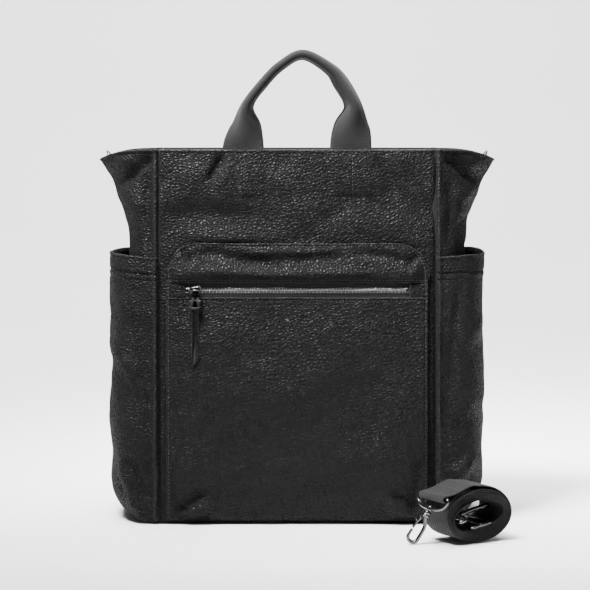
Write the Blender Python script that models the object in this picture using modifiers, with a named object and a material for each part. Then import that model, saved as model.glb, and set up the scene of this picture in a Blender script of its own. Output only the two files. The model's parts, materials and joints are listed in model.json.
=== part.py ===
"""Diaper bag in pebbled leather, with its detachable strap rolled up on the floor in front of it.

Metres, +Z up. The origin is the middle of the base, on the floor. The front of the bag faces -Y.
The walls are lofts that follow three functions of height: half_depth, side_reach and plan_power.
"""

import math

import bmesh
import bpy
from mathutils import Matrix, Vector

# Fits
GAP = 0.0003  # between pieces that touch
RUNNING_GAP = 0.0004  # between a metal part and what it turns or slides on

# Materials' thicknesses
LEATHER = 0.0020
LINING = 0.0005
LINING_SLACK = 0.0025  # how far the lining cuts the corner into the base
FACING = 0.0012
WEBBING = 0.0020
BOARD = 0.0020

# Bag body
RIM_Z = 0.357  # height of the rim over the front and back panels
RIM_DROOP = 0.0105  # how far the rim drops to the wing tips
WAIST_Z = 0.259  # height where the side gussets are narrowest
WAIST_X = 0.163
WING_X = 0.193  # wing tips
SEAM_X = 0.132  # seams between the front or back panel and the gussets
BASE_HALF_DEPTH = 0.077
RIM_HALF_DEPTH = 0.050
DEPTH_POWER = 1.6  # how late the body narrows towards the rim
WING_POWER = 1.75  # how late the wings flare
FOOT_ROUND_Z = 0.020  # rounding of the front and back walls into the base
FOOT_ROUND_IN = 0.005
SIDE_ROUND_Z = 0.035  # rounding of the gussets into the base
SIDE_ROUND_IN = 0.022
SEAM_FLANGE = 0.004  # flat strip of gusset beside each seam
BOXY_PLAN = 3.0  # power of the gusset's plan curve low down
POINTED_PLAN = 1.5  # and at the rim
POINTED_FROM_Z = 0.20
SIDE_STEPS = 12
LEVEL_SHARES = (0.0, 0.015, 0.04, 0.08, 0.15, 0.30, 0.45, 0.60, 0.72, 0.82, 0.91, 1.0)

# Front zipped pocket
POCKET_X = 0.1244
POCKET_FOOT_Z = 0.004
POCKET_TOP_Z = 0.268
POCKET_CORNER = 0.030
POCKET_STAND = 0.0020  # from the front panel to the back of the pocket's leather
POCKET_PUFF = 0.0020
ZIP_Z = 0.2235
ZIP_WINDOW = 0.013  # height of the slot that shows the zip
ZIP_HALF_LENGTH = 0.1062
ZIP_TAPE_HEIGHT = 0.032
ZIP_TAPE = 0.0006
TOOTH = 0.0022  # height and depth of a row of teeth
TOOTH_SPLIT = 0.0005  # between the two rows

# Slider and pull
SLIDER_LENGTH = 0.009
SLIDER_PLATE = 0.0011
SLIDER_END = 0.0015  # from the closed end stop to the slider
STOP_LENGTH = 0.003
BRIDGE_RISE = 0.0030
BRIDGE_WIRE = 0.0006
BRIDGE_HALF_SPAN = 0.0024
LINK_WIRE = 0.0008
LINK_INNER_WIDTH = 0.0086
LINK_LENGTH = 0.0100
PULL_LENGTH = 0.062
PULL_THICKNESS = 0.0022

# Side, back and inside pockets
SIDE_POCKET_TOP_Z = 0.257
SIDE_POCKET_X = 0.1815
SIDE_POCKET_ROUND_Z = 0.045
SIDE_POCKET_ROUND_IN = 0.0375
SIDE_POCKET_POWER = 3.2
BACK_POCKET_X = 0.112
BACK_POCKET_FOOT_Z = 0.045
BACK_POCKET_TOP_Z = 0.245
BACK_POCKET_STAND = 0.0030
INNER_POCKET_X = 0.095
INNER_POCKET_FOOT_Z = 0.110
INNER_POCKET_TOP_Z = 0.250

# Webbing handles
STRAP_WIDTH = 0.040
HANDLE_X = 0.052  # middle of each foot
HANDLE_FOLD_GAP = 0.0009  # room for the webbing's lower edge as the handle folds inwards
HANDLE_FOOT_Z = RIM_Z - 0.043
HANDLE_FOOT_WIDTH = 0.0385
GRIP_WIDTH = 0.0085  # across the arch, seen from the front
GRIP_DEPTH = 0.020  # webbing folded in half, front to back
FOLD_SHARE = 0.55  # the folded webbing's corners are cut to this share of its half width
HANDLE_SIGHT = 0.01  # share of the handle looked ahead and back for its direction
HANDLE_STEPS = 30
HANDLE_PATH = (  # place across the bag, height over the rim, width seen from the front, depth
    (-HANDLE_X, HANDLE_FOLD_GAP, HANDLE_FOOT_WIDTH, WEBBING),
    (-0.0495, 0.0210, 0.0290, 0.0070),
    (-0.0480, 0.0420, 0.0110, 0.0170),
    (-0.0322, 0.0636, 0.0088, 0.0190),
    (-0.0162, 0.0796, GRIP_WIDTH, GRIP_DEPTH),
    (0.0056, 0.0905, GRIP_WIDTH, GRIP_DEPTH),
    (0.0308, 0.0775, 0.0105, 0.0190),
    (0.0424, 0.0636, 0.0145, 0.0165),
    (0.0540, 0.0420, 0.0160, 0.0145),
    (0.0530, 0.0210, 0.0335, 0.0060),
    (HANDLE_X, HANDLE_FOLD_GAP, HANDLE_FOOT_WIDTH, WEBBING),
)

# Rings in the wing tips
RING_INNER_WIDTH = 0.020
RING_DEPTH = 0.0165
RING_SQUARENESS = 0.7  # power that fills out the bow's corners
RING_BOW_START = 0.12  # radians from the bar to the bow's first bend
RING_TAB_LEAN_DEG = 14
RING_WIRE = 0.0013
RING_BAR_X = 0.1765
RING_BAR_Z = RIM_Z - 0.0175
RING_LEAN_DEG = 30
TAB_WIDTH = 0.016
TAB_THICKNESS = 0.0014
TAB_LENGTH = 0.022

# Magnetic snap inside the rim
SNAP_RADIUS = 0.009
SNAP_THICKNESS = 0.0022
SNAP_Z = RIM_Z - 0.019

# Rolled strap
ROLL_AT = (0.1565, -0.153)
ROLL_TURN_DEG = 30
ROLL_HALF_LENGTH = 0.0365
ROLL_HALF_HEIGHT = 0.026
CORE_HALF_LENGTH = 0.0267  # the hollow that seven turns of webbing leave
CORE_HALF_HEIGHT = 0.0125
CORE_TILT_DEG = 10
STRAP_PLY = 0.0016
EYE_BAR_X = -0.037
EYE_BAR_LEVEL_SHARE = 0.85  # the bar clears the roll where it is this share as far out
END_TAB_STEPS = (-0.0245, -0.018, -0.012, -0.006, 0.0)
EYE_WIRE = 0.0016
EYE_INNER_WIDTH = STRAP_WIDTH + 0.0015
EYE_DEPTH = 0.011
EYE_BENDS = ((1, 0), (1, 0.45), (0.85, 0.75), (0.5, 0.97), (0, 1))  # shares of half width, depth
EYE_HANG_DEG = 20  # how far the outer eye hangs out from plumb
HOOK_LENGTH = 0.0350
HOOK_WIRE = 0.0017
HOOK_HALF_WIDTH = 0.0047
HOOK_ROOT = 0.002  # the body's wire starts this far up in the barrel
HOOK_SHOULDERS = ((0.7, 0.003), (1, 0.008))  # shares of half width, drops below the barrel
HOOK_NOSE = 0.006  # the nose's height over the middle of the bend
GATE_TOP_SHARE = 0.62
HOOK_HEADING_DEG = 153.4
HOOK_FLOOR_GAP = 0.0011  # under the middle of the hook's tip, as it lies a little twisted
BARREL_RADIUS = 0.0034
BARREL_LENGTH = 0.0065
STEM_RADIUS = 0.0013
STEM_LENGTH = 0.0035
BOSS_RADIUS = 0.0026
BOSS_LENGTH = 0.0046
GATE_WIRE = 0.0011
INNER_FACING_DEG = 60  # the rolled-in hook lies turned this far from upright
ADJUSTER_LENGTH = 0.022
ADJUSTER_WIRE = 0.0012
ADJUSTER_DROP = 0.0093

BASE_TOP = LEATHER + GAP  # where the walls start above the base panel
INSIDE = LEATHER + GAP + WEBBING + GAP  # from the walls' outer face to the facings


def round_in(z, height):
    """0 above height, rising to 1 at the floor along a quarter circle."""
    if z >= height:
        return 0.0
    return 1 - math.sqrt(max(0.0, 1 - (1 - z / height) ** 2))


def smooth(share):
    share = min(1.0, max(0.0, share))
    return share * share * (3 - 2 * share)


def even_half_depth(z):
    narrowing = (RIM_HALF_DEPTH - BASE_HALF_DEPTH) * (z / RIM_Z) ** DEPTH_POWER
    return BASE_HALF_DEPTH + narrowing - FOOT_ROUND_IN * round_in(z, FOOT_ROUND_Z)


def side_reach(z):
    """Distance of the gusset's outermost line from the middle plane."""
    flare = max(0.0, (z - WAIST_Z) / (RIM_Z - WAIST_Z)) ** WING_POWER
    return WAIST_X + (WING_X - WAIST_X) * flare - SIDE_ROUND_IN * round_in(z, SIDE_ROUND_Z)


def plan_power(z):
    share = smooth((z - POINTED_FROM_Z) / (RIM_Z - POINTED_FROM_Z))
    return BOXY_PLAN + (POINTED_PLAN - BOXY_PLAN) * share


WALL_LEVELS = [BASE_TOP + (RIM_Z - BASE_TOP) * share for share in LEVEL_SHARES]


def levels(bottom, top):
    """Heights from bottom to top that include the walls' own levels between them."""
    return [bottom] + [z for z in WALL_LEVELS if bottom + GAP < z < top - GAP] + [top]


def level_share(z):
    """The wall levels below and above z, and how far z is between them."""
    index = max(i for i, level in enumerate(WALL_LEVELS[:-1]) if level <= z or i == 0)
    low, high = WALL_LEVELS[index : index + 2]
    return low, high, (z - low) / (high - low)


def half_depth(z):
    """Distance of the front and back walls from the middle plane, straight between levels."""
    low, high, share = level_share(z)
    return even_half_depth(low) * (1 - share) + even_half_depth(high) * share


def side_curve(reach, depth, power):
    """Right-hand plan curve from the front seam round to the back seam."""
    middle = SEAM_X + GAP + SEAM_FLANGE
    points = [(SEAM_X + GAP, -depth)]
    for step in range(SIDE_STEPS + 1):
        angle = math.pi * (step / SIDE_STEPS - 0.5)
        out = abs(math.cos(angle)) ** (2 / power)
        along = math.copysign(abs(math.sin(angle)) ** (2 / power), angle)
        points.append((middle + (reach - middle) * out, depth * along))
    points.append((SEAM_X + GAP, depth))
    return points


def gusset_curve(z):
    """The gusset's plan curve at height z, straight between the walls' levels."""
    low, high, share = level_share(z)
    below, above = (
        side_curve(side_reach(level), half_depth(level), plan_power(level))
        for level in (low, high)
    )
    return [
        (x0 * (1 - share) + x1 * share, y0 * (1 - share) + y1 * share)
        for (x0, y0), (x1, y1) in zip(below, above)
    ]


def body_loop(z):
    """The whole plan outline, anticlockwise from the front left seam."""
    right = gusset_curve(z)
    left = [(-x, -y) for x, y in right]
    return right + left


def offset(points, distance, closed=False):
    """The line moved inwards by distance, with mitred corners; it runs anticlockwise."""
    count = len(points)
    moved = []
    for index, (x, y) in enumerate(points):
        before = points[index - 1] if closed or index else points[index]
        after = points[(index + 1) % count] if closed or index < count - 1 else points[index]
        normals = []
        for (x0, y0), (x1, y1) in ((before, (x, y)), ((x, y), after)):
            length = math.hypot(x1 - x0, y1 - y0)
            if length > 1e-9:
                normals.append(Vector(((y1 - y0) / length, (x0 - x1) / length)))
        mean = sum(normals, Vector((0, 0))).normalized()
        reach = distance / max(0.5, mean.dot(normals[0]))
        moved.append((x - mean.x * reach, y - mean.y * reach))
    return moved


def drooped(x, z):
    """Height after the rim's droop, which grows towards the wing tips."""
    start = SEAM_X + GAP + SEAM_FLANGE
    share = max(0.0, (abs(x) - start) / (side_reach(z) - start))
    return z - RIM_DROOP * (z / RIM_Z) ** 8 * min(1.0, share) ** 3


def fresh_scene():
    for old in list(bpy.data.objects):
        bpy.data.objects.remove(old, do_unlink=True)
    parts = bpy.data.collections.new("diaper_bag")
    helpers = bpy.data.collections.new("cutters")
    for collection in (parts, helpers):
        bpy.context.scene.collection.children.link(collection)
    return parts, helpers


PARTS, HELPERS = fresh_scene()


def finish(name, colour, roughness, metallic=0.0):
    material = bpy.data.materials.new(name)
    material.use_nodes = True
    shader = material.node_tree.nodes["Principled BSDF"]
    shader.inputs["Base Color"].default_value = (*colour, 1.0)
    shader.inputs["Roughness"].default_value = roughness
    shader.inputs["Metallic"].default_value = metallic
    return material


PEBBLED = finish("pebbled_leather", (0.012, 0.012, 0.013), 0.45)
SMOOTH_LEATHER = finish("smooth_leather", (0.012, 0.012, 0.012), 0.4)
WOVEN = finish("webbing", (0.010, 0.010, 0.011), 0.85)
CLOTH = finish("lining_cloth", (0.03, 0.03, 0.035), 0.8)
STIFFENER = finish("board", (0.05, 0.05, 0.05), 0.7)
TAPE_CLOTH = finish("zip_tape", (0.012, 0.012, 0.013), 0.8)
BRIGHT_METAL = finish("bright_teeth", (0.75, 0.75, 0.76), 0.25, 1.0)
GUNMETAL = finish("gunmetal", (0.12, 0.12, 0.13), 0.25, 1.0)


def place(name, mesh, material, parent=None, collection=None):
    item = bpy.data.objects.new(name, mesh)
    item.data.materials.append(material)
    (collection or PARTS).objects.link(item)
    item.parent = parent
    return item


def sheet(name, rows, material, thickness, closed=False, bottom=False):
    """A surface lofted through rows of points, bottom row first, given its thickness inwards."""
    mesh = bpy.data.meshes.new(name)
    build = bmesh.new()
    grid = [[build.verts.new(point) for point in row] for row in rows]
    for low, high in zip(grid, grid[1:]):
        count = len(low)
        for index in range(count if closed else count - 1):
            after = (index + 1) % count
            build.faces.new((low[index], low[after], high[after], high[index]))
    if bottom:
        build.faces.new(grid[0][::-1])
    build.to_mesh(mesh)
    build.free()
    item = place(name, mesh, material)
    wall = item.modifiers.new("thickness", "SOLIDIFY")
    wall.thickness = thickness
    wall.offset = -1
    wall.use_even_offset = True
    return item


def front_patch(name, columns, heights, stand, material, thickness, back=False):
    """A piece on the front wall. stand(x, z) is how far its outer face is in front of the panel's.

    heights(x) lists the heights of one column. With back it is mirrored to the back wall.
    """
    rows = zip(*[
        [(x, -half_depth(z) - stand(x, z), z) for z in heights(x)] for x in columns
    ])
    if back:
        rows = [[(-x, -y, z) for x, y, z in row] for row in rows]
    return sheet(name, list(rows), material, thickness)


def spread(start, end, steps):
    return [start + (end - start) * step / steps for step in range(steps + 1)]


def outline_solid(name, splines, depth, material, parent=None):
    """Closed outlines in X-Z, extruded along Y by depth, centred on it. Later outlines are holes."""
    curve = bpy.data.curves.new(name, "CURVE")
    curve.dimensions = "2D"
    curve.fill_mode = "BOTH"
    curve.extrude = depth / 2
    for points in splines:
        spline = curve.splines.new("POLY")
        spline.points.add(len(points) - 1)
        for point, (x, z) in zip(spline.points, points):
            point.co = (x, z, 0, 1)
        spline.use_cyclic_u = True
    item = bpy.data.objects.new(name, curve)
    curve.materials.append(material)
    PARTS.objects.link(item)
    item.rotation_euler = (math.pi / 2, 0, 0)
    item.parent = parent
    return item


def as_mesh(item):
    """The curve object made a mesh object of the same name and place."""
    bpy.context.view_layer.update()
    graph = bpy.context.evaluated_depsgraph_get()
    mesh = bpy.data.meshes.new_from_object(item.evaluated_get(graph))
    build = bmesh.new()
    build.from_mesh(mesh)
    bmesh.ops.remove_doubles(build, verts=build.verts, dist=1e-6)
    bmesh.ops.recalc_face_normals(build, faces=build.faces)
    build.to_mesh(mesh)
    build.free()
    name = item.name
    collection = item.users_collection[0]
    solid = bpy.data.objects.new(name + "_solid", mesh)
    collection.objects.link(solid)
    solid.parent = item.parent
    solid.matrix_world = item.matrix_world.copy()
    bpy.data.objects.remove(item, do_unlink=True)
    solid.name = name
    mesh.shade_smooth()
    mesh.set_sharp_from_angle(angle=math.radians(40))
    return solid


def wire(name, points, radius, material, parent=None, closed=True, rounds=2):
    """A round wire through the points, bent on a polyline."""
    curve = bpy.data.curves.new(name, "CURVE")
    curve.dimensions = "3D"
    curve.bevel_depth = radius
    curve.bevel_resolution = rounds
    curve.use_fill_caps = True
    spline = curve.splines.new("POLY")
    spline.points.add(len(points) - 1)
    for point, place_at in zip(spline.points, points):
        point.co = (*place_at, 1)
    spline.use_cyclic_u = closed
    item = bpy.data.objects.new(name, curve)
    curve.materials.append(material)
    PARTS.objects.link(item)
    item.parent = parent
    return item


def cylinder(name, radius, depth, material, parent=None, sides=20):
    mesh = bpy.data.meshes.new(name)
    build = bmesh.new()
    bmesh.ops.create_cone(
        build, cap_ends=True, segments=sides, radius1=radius, radius2=radius, depth=depth
    )
    build.to_mesh(mesh)
    build.free()
    item = place(name, mesh, material, parent)
    mesh.shade_smooth()
    mesh.set_sharp_from_angle(angle=math.radians(40))
    return item


def combine(item, other, operation):
    """Joins or cuts item with other, which becomes a hidden helper."""
    change = item.modifiers.new(operation.lower(), "BOOLEAN")
    change.operation = operation
    change.solver = "EXACT"
    change.object = other
    for collection in other.users_collection:
        collection.objects.unlink(other)
    HELPERS.objects.link(other)
    other.hide_render = True
    other.display_type = "WIRE"


def arc(centre, radius, start_deg, end_deg, steps):
    """Points on an arc in X-Z, as (x, z)."""
    points = []
    for angle in spread(math.radians(start_deg), math.radians(end_deg), steps):
        points.append((centre[0] + radius * math.cos(angle), centre[1] + radius * math.sin(angle)))
    return points


def make_walls():
    heights = levels(BASE_TOP, RIM_Z)
    for name, side in (("front_panel", 1), ("back_panel", -1)):
        rows = [
            [(side * x, -side * half_depth(z), z) for x in (-SEAM_X, 0, SEAM_X)]
            for z in heights
        ]
        sheet(name, rows, PEBBLED, LEATHER)
    for name, side in (("right_gusset", 1), ("left_gusset", -1)):
        rows = [
            [(side * x, side * y, drooped(x, z)) for x, y in gusset_curve(z)] for z in heights
        ]
        sheet(name, rows, PEBBLED, LEATHER)


def make_base():
    """The leather base that the walls stand on, and the stiffening board inside it."""
    for name, inset, low, thickness, material in (
        ("base_panel", 0.0, 0.0, LEATHER, PEBBLED),
        ("base_board", LEATHER + 4 * GAP, LEATHER + GAP, BOARD, STIFFENER),
    ):
        outline = offset(body_loop(BASE_TOP), inset, closed=True)
        mesh = bpy.data.meshes.new(name)
        build = bmesh.new()
        build.faces.new([build.verts.new((x, y, low + thickness)) for x, y in outline])
        build.to_mesh(mesh)
        build.free()
        item = place(name, mesh, material)
        plate = item.modifiers.new("thickness", "SOLIDIFY")
        plate.thickness = thickness
        plate.offset = -1


def make_inside():
    """Cloth lining, the leather facings above it that hide the handles' feet, and slip pockets."""
    lining_foot = LEATHER + GAP + BOARD + GAP
    rows = []
    for z in levels(lining_foot, HANDLE_FOOT_Z - 2 * GAP):
        outer = body_loop(z)
        slack = LINING_SLACK * round_in(z, SIDE_ROUND_Z)
        inner = offset(outer, LEATHER + 2 * GAP + slack, closed=True)
        rows.append([(x, y, drooped(wall_x, z)) for (x, y), (wall_x, _) in zip(inner, outer)])
    sheet("lining", rows, CLOTH, LINING, closed=True, bottom=True)
    for name, back in (("front_facing", False), ("back_facing", True)):
        front_patch(
            name,
            [-SEAM_X, 0, SEAM_X],
            lambda x: spread(HANDLE_FOOT_Z, RIM_Z, 3),
            lambda x, z: -INSIDE,
            SMOOTH_LEATHER,
            FACING,
            back,
        )
    pocket_stand = -(LEATHER + LINING + 4 * GAP)
    for name, back in (("interior_pocket_front", False), ("interior_pocket_back", True)):
        front_patch(
            name,
            [-INNER_POCKET_X, 0, INNER_POCKET_X],
            lambda x: spread(INNER_POCKET_FOOT_Z, INNER_POCKET_TOP_Z, 4),
            lambda x, z: pocket_stand,
            CLOTH,
            LINING,
            back,
        )


def pocket_face(x, z):
    """How far the pocket's outer face stands in front of the front panel, with its slight puff."""
    across = 1 - abs(x / POCKET_X) ** 4
    below = smooth((ZIP_Z - ZIP_WINDOW - z) / 0.05)
    return POCKET_STAND + LEATHER + POCKET_PUFF * max(0.0, across) * below


def arch_top(x):
    """Height of the arched top edge of the pocket."""
    over = max(0.0, abs(x) - (POCKET_X - POCKET_CORNER))
    return POCKET_TOP_Z - POCKET_CORNER + math.sqrt(max(0.0, POCKET_CORNER**2 - over**2))


def make_front_pocket():
    window_foot = ZIP_Z - ZIP_WINDOW / 2
    window_top = ZIP_Z + ZIP_WINDOW / 2
    front_patch(
        "front_pocket_panel",
        spread(-POCKET_X, POCKET_X, 10),
        lambda x: levels(POCKET_FOOT_Z, window_foot),
        pocket_face,
        PEBBLED,
        LEATHER,
    )
    corner = [
        POCKET_X - POCKET_CORNER * (1 - math.sin(angle))
        for angle in spread(0, math.pi / 2, 6)
    ]
    front_patch(
        "front_pocket_top",
        [-x for x in corner[::-1]] + [0] + corner,
        lambda x: spread(window_top, arch_top(x), 3),
        lambda x, z: POCKET_STAND + LEATHER,
        PEBBLED,
        LEATHER,
    )
    front_patch(
        "front_pocket_lining",
        [-POCKET_X + POCKET_CORNER / 2, 0, POCKET_X - POCKET_CORNER / 2],
        lambda x: spread(FOOT_ROUND_Z, POCKET_TOP_Z - POCKET_CORNER / 3, 5),
        lambda x, z: GAP + LINING,
        CLOTH,
        LINING,
    )
    for name, side in (("front_zip_end_left", -1), ("front_zip_end_right", 1)):
        front_patch(
            name,
            sorted((side * (ZIP_HALF_LENGTH + GAP), side * POCKET_X)),
            lambda x: spread(window_foot + GAP, window_top - GAP, 1),
            lambda x, z: POCKET_STAND + LEATHER,
            SMOOTH_LEATHER,
            LEATHER,
        )


def make_zip():
    tape_face = 2 * GAP + LINING + ZIP_TAPE
    tooth_face = tape_face + GAP + TOOTH
    front_patch(
        "front_zip_tape",
        [-POCKET_X + 2 * GAP, POCKET_X - 2 * GAP],
        lambda x: spread(ZIP_Z - ZIP_TAPE_HEIGHT / 2, ZIP_Z + ZIP_TAPE_HEIGHT / 2, 2),
        lambda x, z: tape_face,
        TAPE_CLOTH,
        ZIP_TAPE,
    )
    teeth_end = ZIP_HALF_LENGTH - STOP_LENGTH - 2 * GAP
    for name, side in (("front_zip_teeth_upper", 1), ("front_zip_teeth_lower", -1)):
        edges = sorted((ZIP_Z + side * TOOTH_SPLIT / 2, ZIP_Z + side * (TOOTH_SPLIT / 2 + TOOTH)))
        front_patch(
            name,
            [-teeth_end, teeth_end],
            lambda x, edges=edges: edges,
            lambda x, z: tooth_face,
            BRIGHT_METAL,
            TOOTH,
        )
    for name, side in (("front_zip_stop_left", -1), ("front_zip_stop_right", 1)):
        front_patch(
            name,
            sorted((side * (teeth_end + GAP), side * (teeth_end + GAP + STOP_LENGTH - GAP))),
            lambda x: [ZIP_Z - TOOTH, ZIP_Z + TOOTH],
            lambda x, z: tooth_face,
            BRIGHT_METAL,
            TOOTH,
        )
    return tooth_face, teeth_end


def pull_lean(x, pivot):
    """Angle from plumb at which the hanging pull clears the leather below the zip."""
    leans = []
    for drop in spread(ZIP_WINDOW, LINK_LENGTH + PULL_LENGTH, 8):
        z = pivot.z - drop
        face = half_depth(z) + pocket_face(x, z) + PULL_THICKNESS + 2 * GAP
        leans.append(math.atan2(face + pivot.y, drop))
    return max(leans)


def make_slider(tooth_face, teeth_end):
    """Slider at the closed left end, its wire bridge, the link hung in it and the leather pull."""
    half = SLIDER_LENGTH / 2
    at_x = -teeth_end + SLIDER_END + half
    slope = math.atan((half_depth(ZIP_Z - TOOTH) - half_depth(ZIP_Z + TOOTH)) / (2 * TOOTH))
    hub = bpy.data.objects.new("slider_frame", None)
    PARTS.objects.link(hub)
    hub.location = (at_x, -half_depth(ZIP_Z) - tooth_face, ZIP_Z)
    hub.rotation_euler = (-slope, 0, 0)
    inner = TOOTH + TOOTH_SPLIT / 2 + RUNNING_GAP
    outer = inner + SLIDER_PLATE
    plate = RUNNING_GAP + SLIDER_PLATE
    reach = TOOTH - RUNNING_GAP / 2
    # Seen from the slider's end: x is out from the teeth, z is up.
    channel = [
        (-reach, outer), (-reach, inner), (RUNNING_GAP, inner), (RUNNING_GAP, -inner),
        (-reach, -inner), (-reach, -outer), (plate, -outer), (plate, outer),
    ]
    slider = as_mesh(outline_solid("front_zip_slider", [channel], SLIDER_LENGTH, GUNMETAL, hub))
    slider.rotation_euler = (math.pi / 2, 0, -math.pi / 2)
    bridge_out = -(plate + BRIDGE_RISE)
    bridge = wire(
        "slider_bridge",
        [(0, -plate + BRIDGE_WIRE, -BRIDGE_HALF_SPAN), (0, bridge_out, -BRIDGE_HALF_SPAN),
         (0, bridge_out, BRIDGE_HALF_SPAN), (0, -plate + BRIDGE_WIRE, BRIDGE_HALF_SPAN)],
        BRIDGE_WIRE, GUNMETAL, hub, closed=False,
    )
    combine(slider, as_mesh(bridge), "UNION")
    link_out = plate + LINK_WIRE + RUNNING_GAP
    bpy.context.view_layer.update()
    pull_frame = bpy.data.objects.new("pull_frame", None)
    PARTS.objects.link(pull_frame)
    pull_frame.location = hub.matrix_world @ Vector((0, -link_out, 0))
    pull_frame.rotation_euler = (-pull_lean(at_x, pull_frame.location), 0, 0)
    link_half = LINK_INNER_WIDTH / 2 + LINK_WIRE
    wire(
        "front_zip_link",
        [(-link_half, 0, 0), (link_half, 0, 0),
         (link_half, 0, -LINK_LENGTH), (-link_half, 0, -LINK_LENGTH)],
        LINK_WIRE, GUNMETAL, pull_frame,
    )
    loop_inner = LINK_WIRE + RUNNING_GAP
    loop_outer = loop_inner + PULL_THICKNESS / 2
    half_strip = PULL_THICKNESS / 2
    strip_start = math.degrees(math.asin(half_strip / loop_outer))
    outer_line = arc((0, 0), loop_outer, -90 + strip_start, 270 - strip_start, 16)
    strip = [(-half_strip, -PULL_LENGTH), (half_strip, -PULL_LENGTH)]
    pull = outline_solid(
        "front_zip_pull",
        [outer_line + strip, arc((0, 0), loop_inner, 0, 330, 11)],
        LINK_INNER_WIDTH - 2 * RUNNING_GAP, SMOOTH_LEATHER, pull_frame,
    )
    pull.location = (0, 0, -LINK_LENGTH)
    pull.rotation_euler = (math.pi / 2, 0, math.pi / 2)


def make_side_pockets():
    """Slip pockets wrapped round the gussets, sewn over them at the seams and the base."""
    raised = LEATHER + GAP
    for name, side in (("right_side_pocket", 1), ("left_side_pocket", -1)):
        rows = []
        for z in levels(BASE_TOP, SIDE_POCKET_TOP_Z):
            sunk = SIDE_POCKET_ROUND_IN * round_in(z, SIDE_POCKET_ROUND_Z)
            reach = max(SIDE_POCKET_X - sunk, side_reach(z) + raised)
            depth = half_depth(z) + raised
            curve = side_curve(reach, depth, SIDE_POCKET_POWER)
            rows.append([(side * x, side * y, z) for x, y in curve])
        sheet(name, rows, PEBBLED, LEATHER)


def make_back_pocket():
    front_patch(
        "back_pocket",
        [-BACK_POCKET_X, 0, BACK_POCKET_X],
        lambda x: spread(BACK_POCKET_FOOT_Z, BACK_POCKET_TOP_Z, 5),
        lambda x, z: BACK_POCKET_STAND + LEATHER,
        PEBBLED,
        LEATHER,
        back=True,
    )


def handle_station(share):
    """Place, width and depth of the handle at share 0..1 along the smooth curve through its path."""
    last = len(HANDLE_PATH) - 1
    index = min(int(share * last), last - 1)
    t = share * last - index
    before, low, high, after = (
        Vector(HANDLE_PATH[min(max(index + step, 0), last)]) for step in (-1, 0, 1, 2)
    )
    slope = (high - before) * t
    bend = (2 * before - 5 * low + 4 * high - after) * t**2
    twist = (3 * low - before - 3 * high + after) * t**3
    return low + (slope + bend + twist) / 2


def handle_mesh(name):
    """A webbing handle, flat at its feet and folded in half along the grip."""
    mesh = bpy.data.meshes.new(name)
    build = bmesh.new()
    rings = []
    for step in range(HANDLE_STEPS + 1):
        share = step / HANDLE_STEPS
        x, rise, width, depth = handle_station(share)
        before = handle_station(max(0.0, share - HANDLE_SIGHT))
        after = handle_station(min(1.0, share + HANDLE_SIGHT))
        along = (after - before).xy.normalized()
        across = Vector((-along.y, along.x))
        if step in (0, HANDLE_STEPS):
            across = Vector((-1, 0)) if step == 0 else Vector((1, 0))
        ring = []
        for corner in range(8):
            angle = math.pi / 4 * (corner + 0.5)
            out = math.copysign(1 if corner in (0, 3, 4, 7) else FOLD_SHARE, math.cos(angle))
            deep = math.copysign(1 if corner in (1, 2, 5, 6) else FOLD_SHARE, math.sin(angle))
            at = Vector((x, rise)) + across * (out * width / 2)
            ring.append(build.verts.new((at.x, deep * depth / 2, at.y)))
        rings.append(ring)
    for low, high in zip(rings, rings[1:]):
        for index in range(8):
            after = (index + 1) % 8
            build.faces.new((low[index], low[after], high[after], high[index]))
    build.faces.new(rings[0][::-1])
    build.faces.new(rings[-1])
    bmesh.ops.recalc_face_normals(build, faces=build.faces)
    build.to_mesh(mesh)
    build.free()
    return mesh


def make_handles():
    """The handles turn at the rim; their feet are sewn between the panel and the facing."""
    sunk = LEATHER + GAP
    for side_name, back in (("front", False), ("back", True)):
        handle = place(f"{side_name}_handle", handle_mesh(f"{side_name}_handle"), WOVEN)
        y = half_depth(RIM_Z) - sunk - WEBBING / 2
        handle.location = (0, y if back else -y, RIM_Z)
        for foot, side in (("left", -1), ("right", 1)):
            middle = side * HANDLE_X * (-1 if back else 1)
            columns = [middle - HANDLE_FOOT_WIDTH / 2, middle + HANDLE_FOOT_WIDTH / 2]
            front_patch(
                f"{side_name}_handle_foot_{foot}",
                columns,
                lambda x: spread(HANDLE_FOOT_Z, RIM_Z, 3),
                lambda x, z: -sunk,
                WOVEN,
                WEBBING - GAP / 2,
                back,
            )


def make_wing_rings():
    """A ring standing in each wing tip, held by a leather loop sewn inside the gusset."""
    lean = math.radians(RING_LEAN_DEG)
    half = RING_INNER_WIDTH / 2 + RING_WIRE
    for name, side in (("right", 1), ("left", -1)):
        hub = bpy.data.objects.new(f"{name}_ring_frame", None)
        PARTS.objects.link(hub)
        hub.location = (side * RING_BAR_X, 0, RING_BAR_Z)
        hub.rotation_euler = (0, side * lean, 0)
        bow = [
            (0, half * math.cos(angle), RING_DEPTH * math.sin(angle) ** RING_SQUARENESS)
            for angle in spread(RING_BOW_START, math.pi - RING_BOW_START, 12)
        ]
        wire(f"{name}_ring", [(0, half, 0), *bow, (0, -half, 0)], RING_WIRE, GUNMETAL, hub)
        inner = RING_WIRE + RUNNING_GAP
        outer = inner + TAB_THICKNESS
        down = math.degrees(math.asin(TAB_THICKNESS / outer))
        tab = outline_solid(
            f"{name}_ring_tab",
            [
                arc((0, 0), outer, -90 + down, 270 - down, 16)
                + [(-TAB_THICKNESS, -TAB_LENGTH), (TAB_THICKNESS, -TAB_LENGTH)],
                arc((0, 0), inner, 0, 330, 11),
            ],
            TAB_WIDTH, SMOOTH_LEATHER,
        )
        tab.location = hub.location
        tab.rotation_euler = (math.pi / 2, side * math.radians(RING_TAB_LEAN_DEG), 0)


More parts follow.
